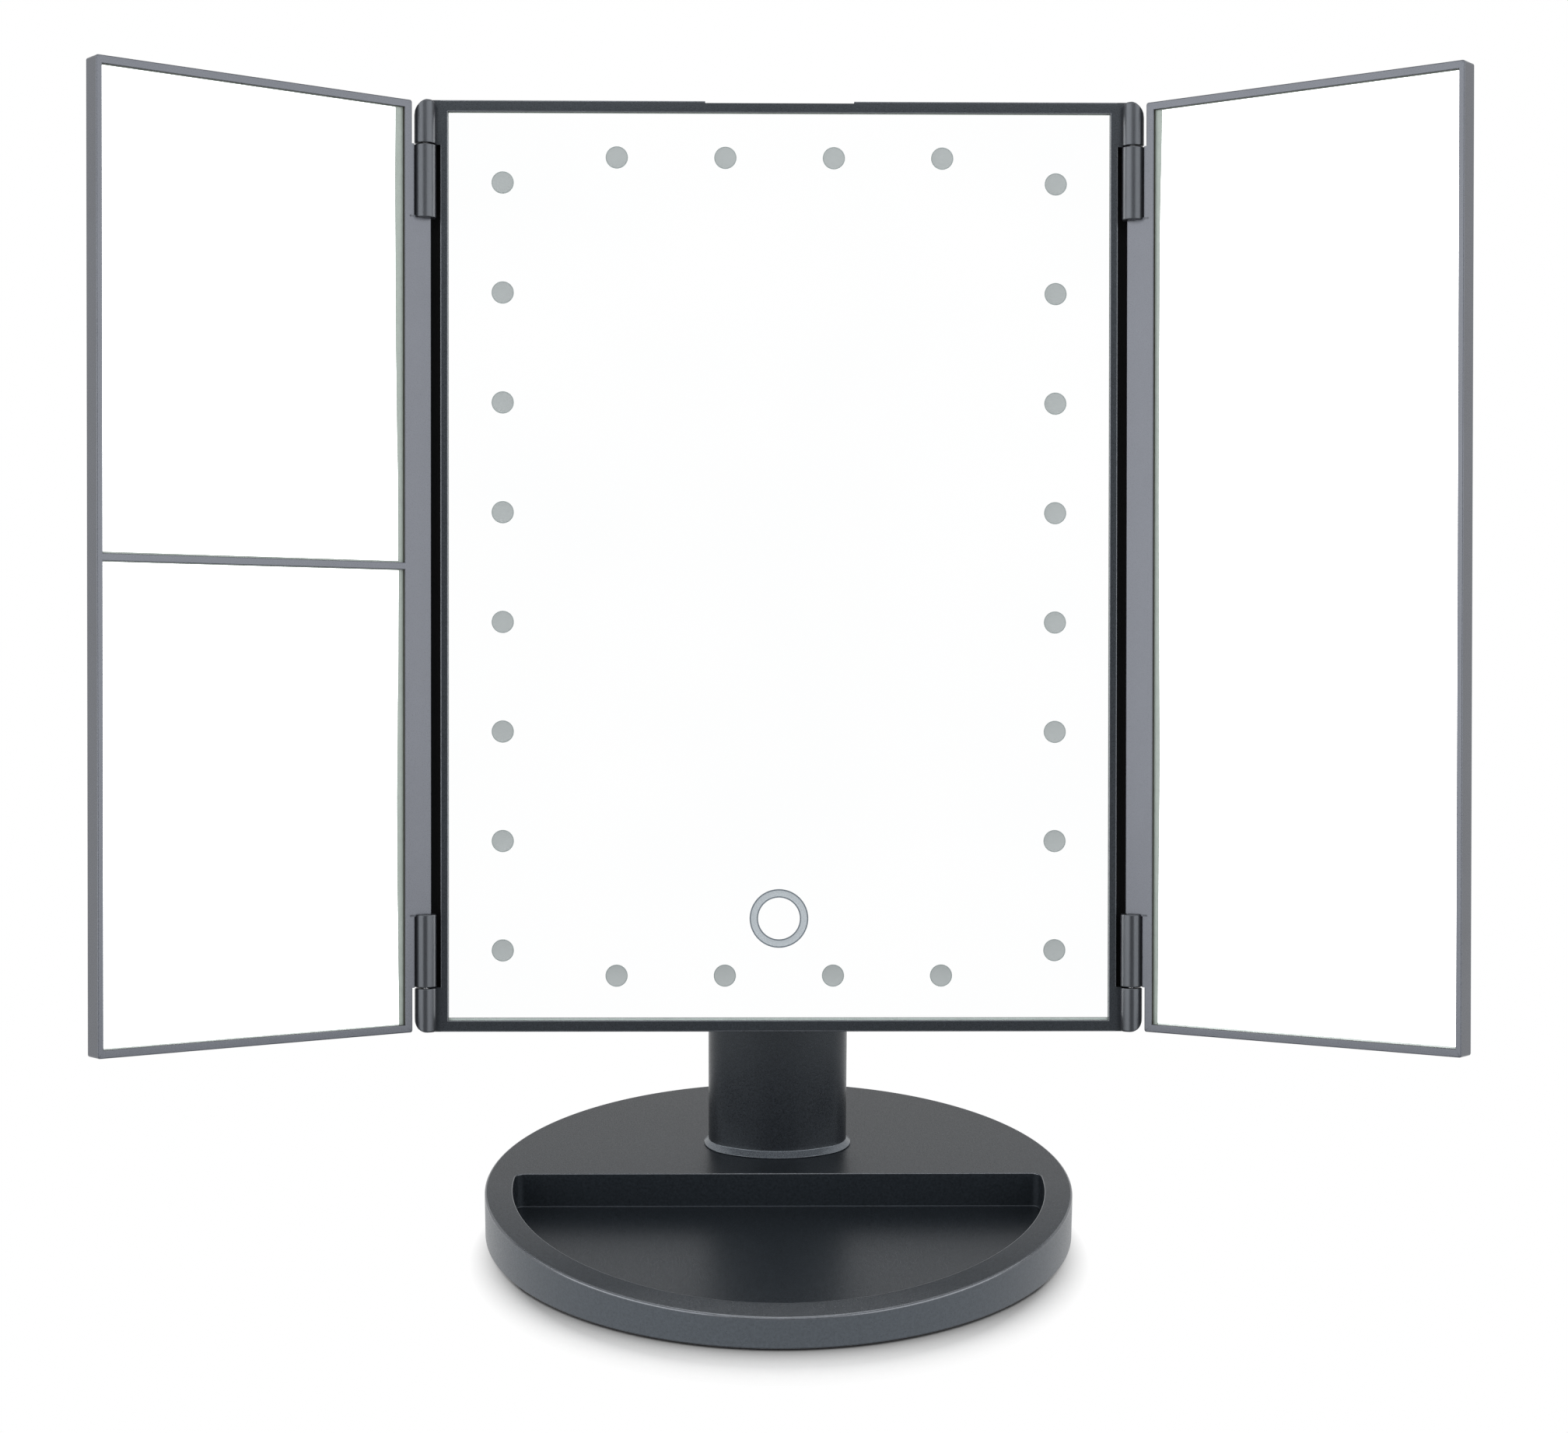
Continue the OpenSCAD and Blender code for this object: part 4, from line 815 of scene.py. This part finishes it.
# bars are the heights of the bars between two panes
def wingFrame(name, place, body, node, bars):
    w = wing
    lip, seat, back, lap = w["lip"], w["seat"], w["stripBack"], w["inner"] + w["overlap"]
    mesh = bmesh.new()
    profile = [(0, 0, 0, w["thick"])] + [(i, i, i, d) for i, d in quarterArc(w["edge"])]
    for i, d in reversed(quarterArc(w["innerEdge"])):
        profile.append((w["lipWidth"] - i, w["lipFar"] - i, w["lipEnd"] - i, d))
    profile.append((w["lipWidth"], w["lipFar"], w["lipEnd"], lip))
    profile += [(seat, seat, seat, d, w["seatFoot"]) for d in (lip, w["thick"])]
    frameRing(mesh, (w["inner"], w["low"]), (w["outer"], w["high"]), profile, corner=w["corner"])
    arc = quarterArc(w["innerEdge"], w["barSteps"])
    inset = w["innerEdge"] + w["barIn"]
    for z in bars:
        low, high = z - w["bar"], z + w["bar"]
        outline = [(low, lip)] + [(low + i, d + hair) for i, d in arc]
        outline += [(high - i, d + hair) for i, d in reversed(arc)] + [(high, lip)]
        ends = w["inner"] + w["lipWidth"] - inset, w["outer"] - w["lipFar"] + inset
        cappedLoft(mesh, [[(u, d, h) for h, d in outline] for u in ends])
    strip = [(w["strip"], back)] + [(w["strip"] + i, d - hair) for i, d in quarterArc(w["stripEdge"])]
    prism(mesh, strip + [(lap, -hair), (lap, back)], w["stripLow"], panel["height"] - w["stripLow"])
    web, webEnd, front = barrel["bore"] + w["webIn"], w["inner"] + w["webIn"], w["webFront"]
    side, half = w["sideIn"], w["edge"] / 2
    for low, high in ((barrel["wingStart"], barrel["wingEnd"]),
                      (panel["height"] - barrel["wingEnd"], panel["height"] - barrel["wingStart"])):
        wingBarrel(mesh, low, high)
        prism(mesh, [(web, front), (webEnd, front), (webEnd, back), (web, back)], low, high)
        prism(mesh, [(side, back), (side, half), (side + half, -hair), (lap, -hair), (lap, back)], low, high)
    darkenWalls(mesh)
    addPiece(name, mesh, place, body, [wingPlastic, wallShade, barrelShadePlastic], node, even=True)


wingFrame("leftWingFrame", leftPlace, "left_wing", "left_wing_frame", (120.0,))
wingFrame("rightWingFrame", rightPlace, "right_wing", "right_wing_frame", ())
print("wing frames made")


# frosted windows and touch ring, flush in the main mirror

lights = dict(radius=2.9, gap=0.02, edge=0.03, edgeIn=0.05, rim=0.28, sinkIn=0.03, sink=0.015,
              middleSink=0.01, depth=0.3, front=1.2, proud=0.02, columnX=71.4, columnCount=8, pitch=28.3,
              rowXs=(-42, -14, 14, 42), rowIn=14.4, ringUp=29.2, ringOut=7.6, ringIn=5.4, ringRim=0.35,
              ringSink=0.012, ringTurns=96)
lightFront = lights["front"] - lights["proud"]
lightBack = lights["front"] + lights["depth"]


def lightPlaces():
    middle = panel["height"] / 2
    places = [(side * lights["columnX"], middle + lights["pitch"] * (i - (lights["columnCount"] - 1) / 2))
              for side in (-1, 1) for i in range(lights["columnCount"])]
    places += [(x, z) for x in lights["rowXs"] for z in (lights["rowIn"], panel["height"] - lights["rowIn"])]
    return places


def frostedWindows():
    mesh = bmesh.new()
    radius, front = lights["radius"], lightFront
    rings = [(radius - lights["gap"], lightBack), (radius - lights["gap"], front + lights["edge"]),
             (radius - lights["edgeIn"], front), (radius - lights["rim"], front)]
    for x, z in lightPlaces():
        start = len(mesh.faces)
        rows = loft(mesh, [[(px, y, pz) for px, pz in circlePoints(x, z, r)] for r, y in rings], around=False)
        paintFaces(mesh, start, 1)
        start = len(mesh.faces)
        inner = [mesh.verts.new((px, front + lights["sink"], pz))
                 for px, pz in circlePoints(x, z, radius - lights["rim"] - lights["sinkIn"])]
        for i in range(len(inner)):
            j = (i + 1) % len(inner)
            mesh.faces.new((rows[-1][i], rows[-1][j], inner[j], inner[i]))
        cap(mesh, inner, (x, front + lights["middleSink"], z))
        cap(mesh, rows[0])
        paintFaces(mesh, start, 0)
    addPiece("frostedWindows", mesh, panelPlace, "head", [windowFrost, windowRim],
             "light_windows")


def touchRing():
    mesh = bmesh.new()
    out, inside, rim, turns = lights["ringOut"], lights["ringIn"], lights["ringRim"], lights["ringTurns"]
    front, slope = lightFront, lights["sinkIn"]
    sunk = front + lights["ringSink"]
    rings = [(out, lightBack), (out, front), (out - rim, front), (out - rim - slope, sunk),
             (inside + rim + slope, sunk), (inside + rim, front), (inside, front), (inside, lightBack)]
    loft(mesh, [[(x, y, z) for x, z in circlePoints(0, lights["ringUp"], r, turns)] for r, y in rings])
    for i, f in enumerate(mesh.faces):
        f.material_index = 0 if i // turns in (2, 3, 4) else 1
    addPiece("touchRing", mesh, panelPlace, "head", [ringFrost, ringRim], "touch_ring")


frostedWindows()
touchRing()
print("windows and ring made")


# mirror panes: each shows its ground glass edge beside the frame, and the two on the left wing are hollowed

# foot is the material of the edge at the foot; hinge gives its width at even steps up the hinge's side
paneSteps = dict(up=28, across=20, plain=4)
wingPane = dict(front=1.0, back=3.0, far=0.15, top=0.25, line=0.0)
panes = [
    dict(name="mainMirror", node="main_mirror", body="head", place=panelPlace, low=(-86.0, 1.4),
         high=(86.0, 238.6), front=1.2, back=3.2, seenLow=(-85.4, 2.9), seenHigh=(85.4, 237.1),
         hinge=(0.1, 0.1), far=0.1, bottom=0.52, top=0.2, line=0.14, hollow=0.0, foot=4),
    dict(wingPane, name="leftUpperMirror", node="left_upper_mirror", body="left_wing", place=leftPlace,
         low=(5.2, 120.2), high=(89.2, 237.9), seenLow=(6.0, 120.9), seenHigh=(89.1, 237.3),
         hinge=(1.55, 1.6, 1.95, 2.2, 2.3, 2.4, 2.25), bottom=0.45, hollow=0.7, foot=1),
    dict(wingPane, name="leftLowerMirror", node="left_lower_mirror", body="left_wing", place=leftPlace,
         low=(5.2, 2.1), high=(89.2, 119.8), seenLow=(6.0, 2.3), seenHigh=(89.1, 119.1),
         hinge=(1.35, 1.6, 1.85, 1.95, 1.75, 1.5, 1.4), bottom=0.35, hollow=0.7, foot=2),
    dict(wingPane, name="rightMirror", node="right_mirror", body="right_wing", place=rightPlace,
         low=(5.2, 2.1), high=(89.2, 237.9), seenLow=(6.0, 2.3), seenHigh=(89.1, 237.3),
         hinge=(1.35, 1.5, 1.75, 1.55, 1.3, 1.35, 1.45, 2.0), bottom=0.5, hollow=0.0, foot=2),
]


# the width beside the hinge at a height t from 0 at the foot to 1 at the top
def widthAt(widths, t):
    spot = t * (len(widths) - 1)
    i = min(int(spot), len(widths) - 2)
    f = spot - i
    f = f * f * (3 - 2 * f)
    return widths[i] * (1 - f) + widths[i + 1] * f


def mirrorPane(p):
    mesh = bmesh.new()
    seenLow, seenHigh = p["seenLow"], p["seenHigh"]
    inLow, inHigh = seenLow[1] + p["bottom"], seenHigh[1] - p["top"]
    zs = [p["low"][1], seenLow[1], inLow] + ([inLow + p["line"]] if p["line"] else [])
    first = zs[-1]
    count = paneSteps["up"] if p["hollow"] or len(p["hinge"]) > 2 else paneSteps["plain"]
    zs += [first + (inHigh - first) * i / count for i in range(1, count + 1)] + [p["high"][1]]
    across = paneSteps["across"] if p["hollow"] else paneSteps["plain"]
    rows = []
    for z in zs:
        t = min(1, max(0, (z - seenLow[1]) / (seenHigh[1] - seenLow[1])))
        u0, u1 = seenLow[0] + widthAt(p["hinge"], t), seenHigh[0] - p["far"]
        us = [p["low"][0], u0] + [u0 + (u1 - u0) * i / across for i in range(1, across + 1)] + [p["high"][0]]
        row = []
        for u in us:
            a = (u - (u0 + u1) / 2) / ((u1 - u0) / 2)
            b = (z - (inLow + inHigh) / 2) / ((inHigh - inLow) / 2)
            dish = p["hollow"] * (1 - a * a) * (1 - b * b) if abs(a) < 1 and abs(b) < 1 else 0
            row.append(mesh.verts.new((u, p["front"] + dish, z)))
        rows.append(row)
    for k, (a, b) in enumerate(zip(rows, rows[1:])):
        for i in range(len(a) - 1):
            f = mesh.faces.new((a[i], a[i + 1], b[i + 1], b[i]))
            if i == 0 or i == len(a) - 2 or k == len(rows) - 2:
                f.material_index = 1
            elif k < 2:
                f.material_index = p["foot"]
            elif k == 2 and p["line"]:
                f.material_index = 3
    count = len(mesh.faces)
    rim = rows[0] + [r[-1] for r in rows[1:]] + rows[-1][-2::-1] + [r[0] for r in rows[-2:0:-1]]
    behind = [mesh.verts.new((v.co.x, p["back"], v.co.z)) for v in rim]
    for i in range(len(rim)):
        j = (i + 1) % len(rim)
        mesh.faces.new((rim[i], rim[j], behind[j], behind[i]))
    mesh.faces.new(behind)
    paintFaces(mesh, count, 1)
    silvering = dishSilver if p["hollow"] else silver
    addPiece(p["name"], mesh, p["place"], p["body"], [silvering, glassEdge, glassFootHighlight, glassLine, glassFoot],
             p["node"])


for pane in panes:
    mirrorPane(pane)
print("mirrors made:", len(panes))


# floor, light and camera; lengths in metres from here on

studio = dict(floorRadius=2.5, floorTurns=96, paperMiddle=-0.0166, paperFrom=0.068, paperTo=0.0786,
              paperTone=0.83, contact=0.76, contactReach=0.06, contactLean=0.58, contactSamples=12,
              worldDiffuse=0.16, frontGap=(0, -0.99, 0.14), frontDim=0.3, gapSpan=(0.9, 0.97))
softboxes = [
    dict(name="left softbox", place=(-0.86, -0.6, 0.42), aim=(0, 0, 0.16), size=(1.3, 0.9), power=11.4),
    dict(name="right softbox", place=(0.86, -0.6, 0.42), aim=(0, 0, 0.16), size=(1.3, 0.9), power=10.0),
    dict(name="top softbox", place=(0, 0.1, 1.15), aim=(0, 0, 0.1), size=(0.6, 0.4), power=2.6),
    dict(name="front softbox", place=(0, -0.8, 0.95), aim=(0, 0, 0.02), size=(0.7, 0.4), power=2.6),
]


# a maths node's output; each input is a socket or a constant
def mathNode(tree, operation, *inputs, kind="ShaderNodeMath", output="Value"):
    node = tree.nodes.new(kind)
    node.operation = operation
    setInputs(tree, node, dict(enumerate(inputs)))
    return node.outputs[output]


def vectorNode(tree, operation, *inputs, output="Vector"):
    return mathNode(tree, operation, *inputs, kind="ShaderNodeVectorMath", output=output)


# white to the camera and in mirrors, dimmer for other light, and darkest in front of the object
def studioWorld():
    world = bpy.data.worlds.new("studio")
    bpy.context.scene.world = world
    world.use_nodes = True
    tree = world.node_tree
    path = tree.nodes.new("ShaderNodeLightPath")
    seen = path.outputs["Is Camera Ray"]
    for ray in ("Is Singular Ray", "Is Transmission Ray"):
        seen = mathNode(tree, "MAXIMUM", seen, path.outputs[ray])
    coords = tree.nodes.new("ShaderNodeTexCoord")
    facing = vectorNode(tree, "DOT_PRODUCT", coords.outputs["Generated"], studio["frontGap"], output="Value")
    room = rangeFrom(tree, facing, 1.0, studio["frontDim"], *studio["gapSpan"])
    diffuse = rangeFrom(tree, path.outputs["Is Glossy Ray"], studio["worldDiffuse"], 1.0, 0, 1)
    dimmed = mathNode(tree, "MINIMUM", room, diffuse)
    strength = mathNode(tree, "MAXIMUM", seen, dimmed)
    setInputs(tree, tree.nodes["Background"], {"Color": (1, 1, 1, 1), "Strength": strength})


# pale paper under the object, as white as the background away from it, and clear from below
def studioFloor():
    mesh = bmesh.new()
    outline = circlePoints(0, 0, studio["floorRadius"], studio["floorTurns"])
    cap(mesh, [mesh.verts.new((x, y, 0)) for x, y in outline])
    floor = newObject("floor", meshData("floor", mesh))
    material, tree, shader = newMaterial("floor paper")
    floor.data.materials.append(material)
    spot = tree.nodes.new("ShaderNodeNewGeometry")
    outward = vectorNode(tree, "NORMALIZE", spot.outputs["Position"])
    inward = vectorNode(tree, "MULTIPLY", outward, (-studio["contactLean"], -studio["contactLean"], 0))
    lean = vectorNode(tree, "NORMALIZE", vectorNode(tree, "ADD", inward, (0, 0, 1)))
    contact = tree.nodes.new("ShaderNodeAmbientOcclusion")
    contact.samples = studio["contactSamples"]
    setInputs(tree, contact, {"Distance": studio["contactReach"], "Normal": lean})
    deepened = mathNode(tree, "POWER", contact.outputs["AO"], studio["contact"])
    paper = rampFrom(tree, deepened, (0, 0, 0), (studio["paperTone"],) * 3, 0, 1)
    setInputs(tree, shader, {"Base Color": paper, "Roughness": 1.0, "Specular IOR Level": 0.0})
    white = tree.nodes.new("ShaderNodeEmission")
    setInputs(tree, white, {"Color": (1, 1, 1, 1), "Strength": 1.0})
    coords = tree.nodes.new("ShaderNodeTexCoord")
    shift = vectorNode(tree, "SUBTRACT", coords.outputs["Object"], (0, studio["paperMiddle"], 0))
    far = vectorNode(tree, "LENGTH", shift, output="Value")
    fade = rangeFrom(tree, far, 0, 1, studio["paperFrom"], studio["paperTo"])
    path = tree.nodes.new("ShaderNodeLightPath")
    unseen = mathNode(tree, "SUBTRACT", 1.0, path.outputs["Is Camera Ray"])
    clear = tree.nodes.new("ShaderNodeBsdfTransparent")
    blends = ((mathNode(tree, "MAXIMUM", fade, unseen), white.outputs["Emission"]),
              (spot.outputs["Backfacing"], clear.outputs["BSDF"]))
    surface = shader.outputs["BSDF"]
    for share, other in blends:
        blend = tree.nodes.new("ShaderNodeMixShader")
        setInputs(tree, blend, {0: share, 1: surface, 2: other})
        surface = blend.outputs["Shader"]
    setInputs(tree, tree.nodes["Material Output"], {"Surface": surface})


def softbox(name, place, aim, size, power):
    lamp = bpy.data.lights.new(name, "AREA")
    lamp.shape = "RECTANGLE"
    lamp.size, lamp.size_y = size
    lamp.energy = power
    holder = newObject(name, lamp)
    holder.location = place
    holder.rotation_euler = (Vector(aim) - Vector(place)).to_track_quat("-Z", "Y").to_euler()


studioWorld()
studioFloor()
for box in softboxes:
    softbox(**box)

# focal and width are in pixels, sensor in millimetres, and the angles in radians
cameraView = dict(focal=3703.3, width=2016, place=(-0.009881, -0.705252, 0.290375), pitch=0.2153, yaw=-0.0153,
                  roll=0.0040, sensor=36, clipStart=0.01)


def placeCamera():
    view = cameraView
    turn = (Matrix.Rotation(view["roll"], 3, "Y") @ Matrix.Rotation(view["pitch"], 3, "X")
            @ Matrix.Rotation(-view["yaw"], 3, "Z"))
    lens = bpy.data.cameras.new("camera")
    lens.sensor_width = view["sensor"]
    lens.lens = view["focal"] / view["width"] * view["sensor"]
    lens.clip_start = view["clipStart"]
    camera = newObject("camera", lens)
    aim = Matrix((turn[0], turn[2], -turn[1])).transposed().to_4x4()
    camera.matrix_world = Matrix.Translation(view["place"]) @ aim
    bpy.context.scene.camera = camera


placeCamera()
bpy.context.scene.view_settings.view_transform = "Standard"
print("studio and camera set")
